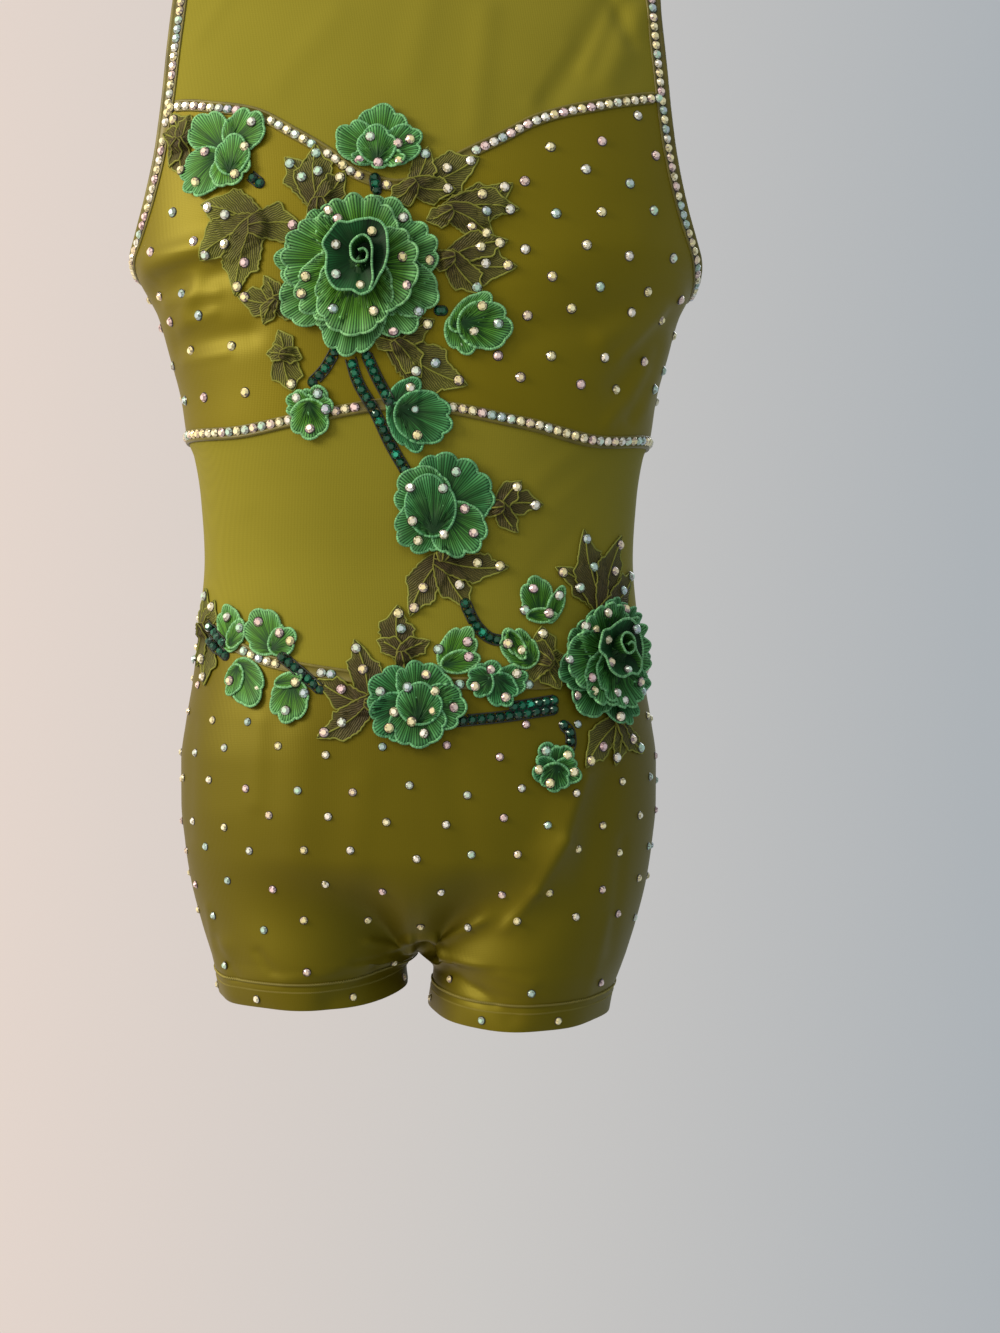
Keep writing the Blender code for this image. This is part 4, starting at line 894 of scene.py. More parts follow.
def cloth_shorts(name, s, top, word, material, slot):
    """Half of the shorts, which parts at the crotch into two legs with turned hems."""
    sign = 1 if word == "front" else -1
    s, top = s[::sign], top[::sign]
    down = np.linspace(0, 1, SHORTS_ROWS)
    down = 0.6 * down + 0.4 * np.sin(down * math.pi / 2)
    heights = top[None, :] + (CROTCH_Z - top)[None, :] * down[::-1, None]
    body, body_out = skin(around(s[None, :], heights, word), heights)
    whole = pull_in(body)
    # The row at the crotch goes on into the legs, and is parted only where front and back meet.
    whole[0] = body[0]
    whole[0][:, 1] -= sign * (SEAM_GAP / 2) * (np.abs(body[0][:, 1]) < 1.0)
    points, way_out = [whole.reshape(-1, 3)], [body_out.reshape(-1, 3)]
    thick = [np.full(heights.size, CLOTH)]
    faces = [quads(*heights.shape)]
    middle = len(s) // 2
    start = heights.size
    for half in (slice(0, middle + 1), slice(middle, None)):
        side = np.sign(s[half].sum())
        psi = math.pi * np.abs(s[half]) * sign
        hem = hem_height(side, psi)
        z = CROTCH_Z + (hem - CROTCH_Z) * np.linspace(0, 1, LEG_ROWS + 1)[1:, None]
        rise = z - hem
        doubled = smooth((HEM_DEPTH - 0.8, HEM_DEPTH + 0.8), (1.0, 0.0), rise)
        groove = np.exp(-(((rise - HEM_DEPTH) / 1.0) ** 2))
        puff = 0.3 * np.sin(np.clip(rise / HEM_DEPTH, 0, 1) * math.pi) ** 0.5
        wave = 0.5 * np.sin(psi * 9 + side) * np.clip(1 - rise / HEM_DEPTH, 0, 1) ** 2
        legs, legs_out = leg(side, psi[None, :], z, puff - 0.4 * groove + wave)
        for edge, inner in ((legs[:, 0], legs[:, 1]), (legs[:, -1], legs[:, -2])):
            edge += SEAM_GAP / 2 * unit(inner - edge)
        points.append(legs.reshape(-1, 3))
        way_out.append(legs_out.reshape(-1, 3))
        thick.append((CLOTH + (HEM_CLOTH - CLOTH) * doubled).ravel())
        cols = middle + 1
        own = np.arange(LEG_ROWS * cols).reshape(LEG_ROWS, cols) + start
        grid = np.concatenate([(np.arange(cols) + half.start)[None, :], own])
        corners = (grid[1:, :-1], grid[1:, 1:], grid[:-1, 1:], grid[:-1, :-1])
        faces.append(np.stack(corners, axis=-1).reshape(-1, 4))
        start += own.size
    bag = Bag()
    points, faces = np.concatenate(points), np.concatenate(faces)
    add_shell(bag, points, np.concatenate(thick)[:, None] * np.concatenate(way_out), faces)
    piece = bag.build("cloth_" + name, material, slot, (name,), sharp=50)


def run_along(q, z, step):
    """Places spaced evenly along a line on the cloth, and the direction at each."""
    lengths = lengths_along(q, z)
    count = max(3, int(round(lengths[-1] / step)) + 1)
    at = np.linspace(0, lengths[-1], count)
    q, z = smooth(lengths, q, at), smooth(lengths, z, at)
    return q, z, heading(q, z)


def add_strip(bag, points):
    """A closed strip, from the line that each point of its profile follows."""
    count, cols = points.shape[:2]
    ends = np.arange(count)
    faces = [quads(cols, count, wrap=True)[:, ::-1], ends[None, :], (ends + (cols - 1) * count)[None, ::-1]]
    bag.add(points.transpose(1, 0, 2), faces)


def add_cord(bag, line, way_out, radius, closed=False, **values):
    """A round cord along points in space."""
    if closed:
        along = unit(np.roll(line, -1, axis=0) - np.roll(line, 1, axis=0))
    else:
        along = unit(np.gradient(line, axis=0))
    side = unit(np.cross(along, way_out))
    up = np.cross(side, along)
    here, after = ring(CORD_SIDES)
    turn = (here * 2 * math.pi / CORD_SIDES)[None, :, None]
    spokes = np.cos(turn) * up[:, None, :] + np.sin(turn) * side[:, None, :]
    count = len(line)
    points = line[:, None, :] + np.broadcast_to(radius, count)[:, None, None] * spokes
    faces = [quads(count, CORD_SIDES, wrap=True)]
    last = (count - 1) * CORD_SIDES
    if closed:
        faces.append(np.stack([last + here, last + after, after, here], axis=-1))
    else:
        faces += [here[None, ::-1], (last + here)[None, :]]
    values = {name: np.repeat(np.broadcast_to(value, count), CORD_SIDES) for name, value in values.items()}
    bag.add(points, faces, **values)


def petal_edge(direction, length, width, scallops, turn):
    """A petal's scalloped rim seen from its base, turn being 0 at the tip."""
    far = 0.5 + 0.5 * np.cos(turn)
    lobes = 2 * scallops + 2
    notch = 1 - np.abs(np.cos(lobes * turn / 2)) ** 0.6
    uneven = 1 + 0.5 * np.sin(2 * turn + direction)
    reach = 1 - SCALLOP_DEPTH / length * notch * uneven * np.clip(2.2 * far, 0, 1)
    return turned(length * (0.46 + 0.54 * np.cos(turn)) * reach, width / 2 * np.sin(turn) * reach, direction)


def add_petal(bag, surface, relief, q, z, petal, seat, cup, curl, ruffle, shade, core=0.1):
    """One embroidered petal: threads fanned out from its base, with a corded, scalloped rim.

    Within core of their base petals may run into each other, so only the rest lifts what comes
    next.
    """
    direction, length, width, scallops = petal
    threads = max(18, int(math.pi * (length + width) / 2 / THREAD_PITCH))
    cols = 2 * threads
    here, after = ring(cols)
    turn = here * 2 * math.pi / cols
    u, v = petal_edge(direction, length, width, scallops, turn)
    rows = max(6, int(length / 2.8))
    share = np.linspace(0, 1, rows + 1)[1:, None] ** 0.9
    crest = np.tile([0.0, 1.0], threads)
    jitter = np.repeat(RNG.random(threads), 2)
    # Every other thread is a short one, that starts part of the way out.
    start = np.repeat(np.where(np.arange(threads) % 2 == 0, 0.0, 0.3 + 0.3 * RNG.random(threads)), 2)
    standing = np.clip((share - start) * 6, 0, 1)
    reach = share * np.hypot(u, v) / length
    wave = ruffle * np.cos((2 * scallops + 2) * turn) * reach**2.5
    wave = wave + 0.5 * ruffle * np.sin(2 * turn + direction) * reach**2
    q_all, z_all = q + share * u, z + share * v
    h = np.maximum(seat + cup * reach**curl + wave, relief.at(q_all, z_all) + 0.3)
    base = max(seat, relief.at(q, z) + 0.2)
    thread = 0.5 * (crest - 0.5) * np.minimum(1, share * 1.5) * standing
    # The underside follows every third row.
    kept = np.unique(np.append(np.arange(0, rows, 3), rows - 1))
    points = np.concatenate(
        [
            [surface.place(q, z, base + 0.4)],
            surface.place(q_all, z_all, h + thread + 0.45).reshape(-1, 3),
            [surface.place(q, z, base - 0.3)],
            surface.place(q_all[kept], z_all[kept], h[kept] - 0.35).reshape(-1, 3),
        ]
    )
    under = 1 + rows * cols
    rim = under - cols
    under_rim = under + 1 + (len(kept) - 1) * cols
    faces = [
        np.stack([0 * here, 1 + here, 1 + after], axis=-1),
        quads(rows, cols, wrap=True)[:, [0, 3, 2, 1]] + 1,
        np.stack([0 * here + under, under + 1 + after, under + 1 + here], axis=-1),
        quads(len(kept), cols, wrap=True) + under + 1,
        np.stack([rim + here, under_rim + here, under_rim + after, rim + after], axis=-1),
    ]
    # tone runs from the dark base of a petal to its pale rim.
    ragged = 0.3 * (jitter - 0.5) * (1 - np.abs(2 * share - 1))
    tone = np.clip(share + ragged, 0, 1)
    values = {"tone": tone, "crest": crest * standing + 0.35 * (1 - standing), "jitter": jitter + 0 * share}
    values = {
        name: np.concatenate([[0], grid.ravel(), [0], 0.5 * grid[kept].ravel()])
        for name, grid in values.items()
    }
    bag.add(points, faces, shade=shade, **values)
    outside = np.broadcast_to(share > core, h.shape)
    relief.add(q_all[outside], z_all[outside], h[outside] + 0.5)
    add_rim(bag, surface, q + u, z + v, h[-1] + 0.15, RIM_RADIUS, shade)


def add_rim(bag, surface, q, z, h, radius, shade, closed=True):
    """The corded edge of a petal, wrapped in short stitches."""
    round_trip = lengths_along(np.append(q, q[0]), np.append(z, z[0]))
    total = round_trip[-1] if closed else round_trip[-2]
    count = max(12, 2 * int(total / RIM_STITCH / 2))
    at = np.linspace(0, total, count, endpoint=not closed)
    line, way_out = surface.stand(*(np.interp(at, round_trip, np.append(v, v[0])) for v in (q, z, h)))
    wrap = np.arange(count) % 2
    jitter = RNG.random(count)
    size = radius * (0.9 + 0.1 * wrap + 0.1 * jitter)
    crest = 0.55 + 0.45 * wrap
    add_cord(bag, line, way_out, size, closed, tone=1.1, crest=crest, jitter=jitter, shade=shade)


def add_lobe(bag, surface, relief, q, z, direction, length, half_angle, brown):
    """One lobe of an embroidered leaf: three points, a raised rib, and threads that slant off it."""
    rows, cols = max(12, int(length / LEAF_STEP)) + 1, 15
    share = np.linspace(0, 1, rows)
    half_width = length * math.sin(math.radians(half_angle)) * LEAF_FULLNESS
    sides = [np.interp(share, *zip(*side)) * half_width + 0.3 for side in LOBE_SIDES[:: RNG.choice([-1, 1])]]
    left, right = (np.array(sides) * (1 + 0.04 * RNG.standard_normal((2, rows))))[..., None]
    bend = (0.07 * length * np.sin(math.pi * share) * RNG.choice([-1, 1]))[:, None]
    share = share[:, None]
    t = np.linspace(-1, 1, cols)
    across = np.where(t < 0, left, right) * t
    u = length * (share - 0.12 * (1 - share)) + 0 * t
    du, dv = turned(u, across + bend, direction)
    q_all, z_all = q + du, z + dv
    h = np.maximum(0.5, relief.at(q_all, z_all) + 0.2)
    rib = 0.3 * np.exp(-((t / 0.12) ** 2)) - 0.25 * np.exp(-(((np.abs(t) - 0.3) / 0.16) ** 2))
    top = surface.place(q_all, z_all, h + 0.5 + 0.5 * (1 - t**2) + rib)
    count = rows * cols
    faces = quads(rows, cols)
    loop, after = outline(rows, cols)
    walls = np.stack([loop, loop + count, after + count, after], axis=-1)
    # crest counts the slanting threads, which the material raises.
    crest = (np.abs(across) * 0.9 - u * 0.42) / LEAF_PITCH + np.where(t > 0, 0.5, 0.0)
    tone = np.clip(share + 0.12 * t**2, 0, 1)
    faces = [faces[:, ::-1], faces + count, walls]
    bag.add_layers(top, surface.place(q_all, z_all, h - 0.1), faces, tone=tone, crest=crest, shade=brown)
    relief.add(q_all, z_all, h + 1.0)
    add_leaf_cord(bag, surface, *(grid.ravel()[loop] for grid in (q_all, z_all, h + 0.4, tone)), 0.5, True)
    rib_run = slice(0, int(0.9 * (rows - 1))), cols // 2
    add_leaf_cord(bag, surface, *(grid[rib_run] for grid in (q_all, z_all, h + 1.2, tone)), 0.42)


def add_leaf_cord(bag, surface, q, z, h, tone, radius, closed=False):
    """The cord along a leaf's edge or rib."""
    line, way_out = surface.stand(q, z, h)
    keep = np.append(True, np.linalg.norm(np.diff(line, axis=0), axis=-1) > 0.15)
    size = radius * (0.9 + 0.2 * RNG.random(keep.sum()))
    tone = 0.3 + 0.75 * tone[keep]
    add_cord(bag, line[keep], way_out[keep], size, closed, tone=tone, crest=0.25, shade=-1.0)


def rim_curve(points, size, turn, closed):
    """A smooth curve through a rim's points, sized and turned."""
    points = np.array(points, float) * size
    if closed:
        points = np.concatenate([points, points[:1]])
    lengths = lengths_along(*points.T)
    at = np.linspace(0, lengths[-1], int(lengths[-1] / (THREAD_PITCH / 2)) // 2 * 2 + 1)
    if closed:
        at = at[:-1]
    return turned(*(smooth(lengths, column, at) for column in points.T), turn)


def add_cup(bag, surface, relief, q, z, u, v, low, high, shade):
    """A petal rolled into a cup, from its foot up to its rim."""
    foot_u, foot_v = u.mean() + 1, v.mean()
    rows, cols = 12, len(u)
    share = np.linspace(0, 1, rows)[:, None]
    reach = 0.12 + 0.88 * share**0.8
    h = low + (high - low) * share**1.3
    q_all = q + foot_u + reach * (u - foot_u)
    z_all = z + foot_v + reach * (v - foot_v)
    here, after = ring(cols)
    crest = here % 2
    jitter = np.repeat(RNG.random(cols // 2 + 1), 2)[:cols]
    top = surface.place(q_all, z_all, h + 0.3 * (crest - 0.5) * share + 0.3)
    relief.add(q_all, z_all, h + 0.3)
    count = rows * cols
    sheet = quads(rows, cols, wrap=True)
    rim = count - cols
    faces = [
        sheet[:, ::-1],
        sheet + count,
        np.stack([rim + here, rim + here + count, rim + after + count, rim + after], axis=-1),
        here[None, ::-1],
        (here + count)[None, :],
    ]
    # The side away from the light, behind the curled petal, is deep in shade.
    lit = 1 - 0.97 * np.clip((u - foot_u - 2) / 3, 0, 1) * np.clip((v - v.min()) / 8, 0, 1)
    tone = (0.1 + 0.62 * share) * lit
    under = surface.place(q_all, z_all, h - 0.6)
    bag.add_layers(top, under, faces, tone=tone, crest=crest, jitter=jitter, shade=shade)
    add_rim(bag, surface, q + u, z + v, h[-1] + 0 * u + 0.2, RIM_RADIUS, 0.5)


def add_curl(bag, surface, q, z, u, v, low, high, shade):
    """The curled petal at the heart of a rose, standing in its cup."""
    rows, cols = 8, len(u)
    share = np.linspace(0, 1, rows)[:, None]
    lean = 0.7 + 0.3 * share**0.7
    middle_u, middle_v = u.mean(), v.mean()
    along_u, along_v = heading(u, v).T
    rim = high - 2.0 * np.linspace(1, 0, cols) ** 2 + 0.4 * np.sin(np.arange(cols) * 0.35)
    sheets = []
    for side in (0.4, -0.4):
        q_all = q + middle_u + lean * (u - middle_u) - side * along_v
        z_all = z + middle_v + lean * (v - middle_v) + side * along_u
        sheets.append(surface.place(q_all, z_all, low + (rim - low) * share))
    count = rows * cols
    faces = quads(rows, cols)
    loop, after = outline(rows, cols)
    walls = np.stack([loop, after, after + count, loop + count], axis=-1)
    faces = [faces[:, ::-1], faces + count, walls]
    bag.add_layers(*sheets, faces, tone=0.1 + 0.6 * share, crest=np.arange(cols) % 2, jitter=0.5, shade=shade)
    add_rim(bag, surface, q + u, z + v, rim + 0.1, RIM_RADIUS * 0.9, 0.4, closed=False)


def stone_shape(radius, height):
    """A flat-backed cut stone, table up: its points, the faces of a ring under it that is painted dark as its
    shadow, and its own.
    """
    girdle = np.arange(16) * math.pi / 8
    table = np.arange(8) * math.pi / 4
    rings = ((girdle, 1.2 * radius, 0.0), (girdle, 1.08 * radius, 0.3), (girdle, radius, 0.3))
    rings += ((girdle, radius, 0.35 * height), (table, 0.55 * radius, height))
    points = [(r * math.cos(a), r * math.sin(a), h) for angles, r, h in rings for a in angles]
    k, m = ring(16)
    t, n = ring(8)
    g0, g1, g2, top = 48 + 2 * t, 49 + 2 * t, 48 + (2 * t + 2) % 16, 64
    bed = [np.stack([a + k, a + m, a + m + 16, a + k + 16], axis=-1) for a in (0, 16)]
    cut = [
        np.stack([32 + k, 32 + m, 48 + m, 48 + k], axis=-1),
        np.stack([g0, g1, top + t], axis=-1),
        np.stack([top + t, g1, top + n], axis=-1),
        np.stack([top + n, g1, g2], axis=-1),
        (top + t)[None, :],
    ]
    return np.array(points), bed, cut


class Stones:
    """Cut stones set on the garment, gathered into one mesh; each face has its own painted highlight."""

    def __init__(self, radius, height):
        self.shape, self.bed, self.cut = stone_shape(radius, height)
        self.bag = Bag()

    def set(self, points, outward):
        for point, out in zip(points, outward):
            spin = RNG.random() * 2 * math.pi
            side = unit(np.cross(out, (math.cos(spin), math.sin(spin), 0.37)))
            placed = point + self.shape @ np.stack([side, np.cross(out, side), out])
            hue = RNG.random()
            # The ring under the stone is painted near black as the stone's painted shadow.
            self.bag.add(placed, self.bed, hue=hue, glint=-0.5)
            # Each cut face keeps its own points, so that it can have its own painted highlight; the table is
            # painted brightest.
            for face in (face for group in self.cut for face in group):
                glint = 0.75 + 0.25 * RNG.random() if len(face) == 8 else RNG.random()
                self.bag.add(placed[face], [np.arange(len(face))[None, :]], hue=hue, glint=glint)


def new_material(name):
    """A material, its node tree and its shader."""
    material = bpy.data.materials.new(name)
    material.use_nodes = True
    return material, material.node_tree, material.node_tree.nodes["Principled BSDF"]


def dress(tree, shader, colour, **settings):
    """Gives a shader its colour, and its settings by their names with _ for each space."""
    tree.links.new(colour, shader.inputs["Base Color"])
    for name, value in settings.items():
        shader.inputs[name.replace("_", " ")].default_value = value


def math_node(tree, operation, a, b=None, clamp=False):
    node = tree.nodes.new("ShaderNodeMath")
    node.operation = operation
    node.use_clamp = clamp
    for socket, value in zip(node.inputs, (a, b)):
        if isinstance(value, (int, float)):
            socket.default_value = value
        elif value is not None:
            tree.links.new(value, socket)
    return node.outputs[0]


def times(tree, a, b, clamp=False):
    return math_node(tree, "MULTIPLY", a, b, clamp)


def plus(tree, a, b, clamp=False):
    return math_node(tree, "ADD", a, b, clamp)


def place_of(tree):
    """The three coordinates of a point on the garment."""
    place = tree.nodes.new("ShaderNodeTexCoord")
    split = tree.nodes.new("ShaderNodeSeparateXYZ")
    tree.links.new(place.outputs["Object"], split.inputs[0])
    return split.outputs


def attribute(tree, name):
    node = tree.nodes.new("ShaderNodeAttribute")
    node.attribute_name = name
    return node.outputs["Fac"]


def ramp(tree, fac, stops):
    node = tree.nodes.new("ShaderNodeValToRGB")
    elements = node.color_ramp.elements
    while len(elements) < len(stops):
        elements.new(0.5)
    for element, (position, colour) in zip(elements, stops):
        element.position = position
        element.color = (*colour, 1)
    tree.links.new(fac, node.inputs["Fac"])
    return node.outputs["Color"]


def mix(tree, fac, a, b, blend="MIX"):
    node = tree.nodes.new("ShaderNodeMix")
    node.data_type = "RGBA"
    node.blend_type = blend
    for socket, value in ((node.inputs[0], fac), (node.inputs[6], a), (node.inputs[7], b)):
        if isinstance(value, (int, float)):
            socket.default_value = value
        elif isinstance(value, tuple):
            socket.default_value = (*value, 1)
        else:
            tree.links.new(value, socket)
    return node.outputs[2]


def noise(tree, scale, detail=2.0, stretch=(1, 1, 1)):
    place = tree.nodes.new("ShaderNodeTexCoord")
    mapping = tree.nodes.new("ShaderNodeMapping")
    mapping.inputs["Scale"].default_value = stretch
    node = tree.nodes.new("ShaderNodeTexNoise")
    node.inputs["Scale"].default_value = scale
    node.inputs["Detail"].default_value = detail
    tree.links.new(place.outputs["Object"], mapping.inputs["Vector"])
    tree.links.new(mapping.outputs["Vector"], node.inputs["Vector"])
    return node.outputs["Fac"]


def bump(tree, shader, height, strength, distance):
    node = tree.nodes.new("ShaderNodeBump")
    node.inputs["Strength"].default_value = strength
    node.inputs["Distance"].default_value = distance
    tree.links.new(height, node.inputs["Height"])
    tree.links.new(node.outputs["Normal"], shader.inputs["Normal"])


def knit(tree, wale, course):
    """Fine columns and rows of a knitted cloth, from its place round the body and its height."""
    x, y, z = place_of(tree)
    columns = math_node(tree, "SINE", times(tree, plus(tree, x, times(tree, y, 0.62)), 2 * math.pi / wale))
    rows = math_node(tree, "SINE", times(tree, z, 2 * math.pi / course))
    return plus(tree, columns, times(tree, rows, 0.6))


def satin_material(name, painted_lightness):
    """Shiny stretch satin: soft broad highlights over a deep olive, scaled lighter or darker all over as
    painted light.
    """
    material, tree, shader = new_material(name)
    patches = noise(tree, 9.0, 3.0)
    streaks = noise(tree, 60.0, 2.0, (1.0, 1.0, 0.12))
    base = ramp(tree, patches, ((0.3, (0.068, 0.055, 0.0008)), (0.7, (0.098, 0.08, 0.0014))))
    colour = mix(tree, times(tree, streaks, 0.35), base, (0.06, 0.046, 0.0006))
    # Painted light: the whole colour is scaled by the lightness given.
    colour = mix(tree, 1.0, colour, (painted_lightness,) * 3, "MULTIPLY")
    dress(tree, shader, colour, Roughness=0.52, Specular_IOR_Level=0.85, Specular_Tint=(1.0, 0.88, 0.12, 1))
    bump(tree, shader, plus(tree, knit(tree, 0.0011, 0.0009), times(tree, streaks, 2.0)), 0.05, 0.0002)
    return material


def matte_material():
    """Matte stretch mesh: paler than the satin, with fine dark holes."""
    material, tree, shader = new_material("matte_mesh_cloth")
    patches = noise(tree, 7.0, 3.0)
    base = ramp(tree, patches, ((0.3, (0.175, 0.157, 0.011)), (0.7, (0.21, 0.188, 0.015))))
    holes = knit(tree, 0.0013, 0.0011)
    colour = mix(tree, times(tree, plus(tree, holes, 1.6), 0.06, True), base, (0.12, 0.108, 0.006))
    tint = (1.0, 0.9, 0.4, 1)
    dress(tree, shader, colour, Roughness=0.72, Specular_IOR_Level=0.2, Specular_Tint=tint, Sheen_Weight=0.05)
    bump(tree, shader, holes, 0.06, 0.0002)
    return material


def binding_material():
    """The satin of the narrow tapes, with darker streaks."""
    material, tree, shader = new_material("satin_tape")
    streaks = noise(tree, 90.0, 2.0)
    colour = ramp(tree, streaks, ((0.3, (0.085, 0.072, 0.003)), (0.75, (0.15, 0.128, 0.006))))
    dress(tree, shader, colour, Roughness=0.45, Specular_IOR_Level=0.4, Sheen_Weight=0.1)
    bump(tree, shader, noise(tree, 900.0, 1.0), 0.3, 0.0002)
    return material


def petal_material():
    """Green embroidery thread: dark at a petal's base, grass green, then mint at its rim."""
    material, tree, shader = new_material("petal_thread")
    tone, jitter, crest, shade = (attribute(tree, name) for name in ("tone", "jitter", "crest", "shade"))
    pale = ramp(tree, times(tree, tone, 0.8), PALE_PETAL)
    deep = ramp(tree, times(tree, tone, 0.8), DEEP_PETAL)
    colour = mix(tree, shade, pale, deep)
    colour = mix(tree, 1.0, colour, plus(tree, 0.62, times(tree, jitter, 0.72)), "MULTIPLY")
    # The grooves between threads and between wrapped rim stitches are painted near black: painted shade.
    gap = times(tree, math_node(tree, "SUBTRACT", 1.0, crest, clamp=True), 0.95)
    colour = mix(tree, gap, colour, (0.003, 0.035, 0.005))
    sheen = {"Sheen_Weight": 0.06, "Sheen_Roughness": 0.4, "Sheen_Tint": (0.5, 1.0, 0.6, 1)}
    dress(tree, shader, colour, Roughness=0.6, Specular_IOR_Level=0.22, **sheen)
    bump(tree, shader, noise(tree, 2200.0, 1.0), 0.25, 0.0002)
    return material


def leaf_material():
    """Olive thread over brown, slanting off each rib in fine, uneven ridges."""
    material, tree, shader = new_material("leaf_thread")
    tone = attribute(tree, "tone")
    scribble = noise(tree, 330.0, 2.0)
    phase = plus(tree, attribute(tree, "crest"), times(tree, scribble, 1.5))
    ridge = math_node(tree, "SINE", times(tree, phase, 2 * math.pi))
    ridge = times(tree, plus(tree, ridge, 1.0), 0.5)
    # A leaf's shade is how brown it is, or less than nothing on its cords.
    brown = attribute(tree, "shade")
    ridge = math_node(tree, "MAXIMUM", ridge, times(tree, brown, -0.85))
    place = plus(tree, times(tree, tone, 0.75), times(tree, scribble, 0.3))
    olive = ramp(tree, place, OLIVE_THREAD)
    thread = mix(tree, math_node(tree, "MAXIMUM", brown, 0.0), olive, ramp(tree, place, BROWN_THREAD))
    ground = ramp(tree, place, LEAF_GROUND)
    colour = mix(tree, times(tree, ridge, 1.2, True), ground, thread)
    dress(tree, shader, colour, Roughness=0.62, Specular_IOR_Level=0.25)
    bump(tree, shader, ridge, 0.8, 0.0005)
    return material


def stone_material(name, stops, metallic, roughness):
    """Cut stones whose faces each have their own painted highlight, on a ring painted dark as their shadow.
    """
    material, tree, shader = new_material(name)
    hue, glint = attribute(tree, "hue"), attribute(tree, "glint")
    colour = ramp(tree, plus(tree, times(tree, hue, 0.8), times(tree, glint, 0.2)), stops)
    # Painted light: each face is made lighter or darker by its painted highlight, and the ring under the
    # stone near black as its shadow.
    lift = math_node(tree, "MAXIMUM", plus(tree, 0.22, times(tree, glint, 1.08)), 0.03)
    colour = mix(tree, 1.0, colour, lift, "MULTIPLY")
    dress(tree, shader, colour, Metallic=metallic, Roughness=roughness, Coat_Weight=0.5, Coat_Roughness=0.04)
    return material


def plain_material(name, colour, roughness):
    """Dull thread of one colour, darker in specks."""
    material, tree, shader = new_material(name)
    dark = tuple(0.72 * c for c in colour)
    dress(tree, shader, mix(tree, noise(tree, 700.0, 1.0), dark, colour), Roughness=roughness)
    return material


def main():
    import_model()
    make_stage()
    surface = Surface()
    relief = Relief(surface)
    # The same satin, painted lighter on the bust and darker on the shorts: painted light.
    satins = satin_material("satin_bust", 1.35), satin_material("satin_shorts", 0.88)
    matte, tape = matte_material(), binding_material()
    make_panels(*satins, matte)
    make_tapes(surface, relief, tape)
    make_hem_stitches()
    make_leaves(surface, relief)
    make_flowers(surface, relief)
    beads = make_stems(surface, relief)
    make_stones(surface, relief, beads)


def make_panels(painted_light_satin, satin, matte):
    """The eight panels of cloth; the bust's satin is painted lighter than the shorts' as painted light."""
    for word in ("front", "back"):
        front = word == "front"
        fine = 1.0 if front else BACK_SHARE
        s = np.linspace(-1, 1, 2 * int(HALF_COLUMNS * fine) + 1)
        waist = seam_row(WAIST if front else BACK_WAIST, s, word)
        underbust = seam_row(UNDERBUST if front else BACK_UNDERBUST, s, word)
        underarm = UNDERARM_Z + UNDERARM_TILT * s
        yoke = seam_row(SWEETHEART if front else BACK_YOKE, s, word)
        cloth_shorts("shorts_" + word, s, waist, word, satin, "satin")
        rows = between(waist, underbust, np.linspace(0, 1, int(MIDRIFF_ROWS * fine)))
        cloth_panel("midriff_" + word, s, rows, word, matte, "matte_mesh")
        side = between(underbust, underarm, np.linspace(0, 1, int(SIDE_ROWS * fine)))
        chest = between(underarm, yoke, np.linspace(0, 1, int(CHEST_ROWS * fine)) ** 1.35)
        rows = np.concatenate([side, chest[1:]])
        cloth_panel("bust_" + word, s, rows, word, painted_light_satin, "satin")
        k = np.linspace(0, 1, int(NECK_COLUMNS * fine) + 1)[1:]
        neck = NECK_SHARE * (0.3 * k + 0.7 * np.sin(k * math.pi / 2))
        strap = NECK_SHARE + (1 - NECK_SHARE) * np.linspace(0, 1, int(STRAP_COLUMNS * fine) + 1)[1:]
        half = np.concatenate([neck, strap])
        s = np.concatenate([-half[::-1], [0.0], half])
        yoke = seam_row(SWEETHEART if front else BACK_YOKE, s, word)
        share = 1 - (1 - np.linspace(0, 1, int(YOKE_ROWS * fine))) ** 1.7
        rows = between(yoke, top_row(s, word), share)
        cloth_panel("yoke_" + word, s, rows, word, matte, "matte_mesh", True)


def armhole_line(surface, side, inside):
    """A line a set distance inside an armhole's edge, from the front's shoulder down and up the back."""
    start = UNDERARM_Z + UNDERARM_TILT * side
    parts = []
    for word in ("front", "back"):
        top = top_row(np.array([side, side * 0.999]), word)[0]
        z = start + (top - start) * np.linspace(0, 1, 90) ** 1.6
        turn = edge_turn(np.full(len(z), side), z, word)
        q = surface.q_at(turn if word == "front" else math.pi - turn, z)
        parts.append((q[::-1], z[::-1]) if word == "front" else (q[1:], z[1:]))
    q, z = (np.concatenate(both) for both in zip(*parts))
    along = heading(q, z)
    return side * (q + inside * along[:, 1]), z - inside * along[:, 0]


def seam_line(surface, seam, word):
    """A seam from one side of the body to the other: theta, q and z along it."""
    s = np.linspace(-1, 1, 241)
    z = seam_row(seam, s, word)
    theta = around(s, z, word)
    return theta, np.sign(s) * surface.q_at(np.abs(theta), z), z


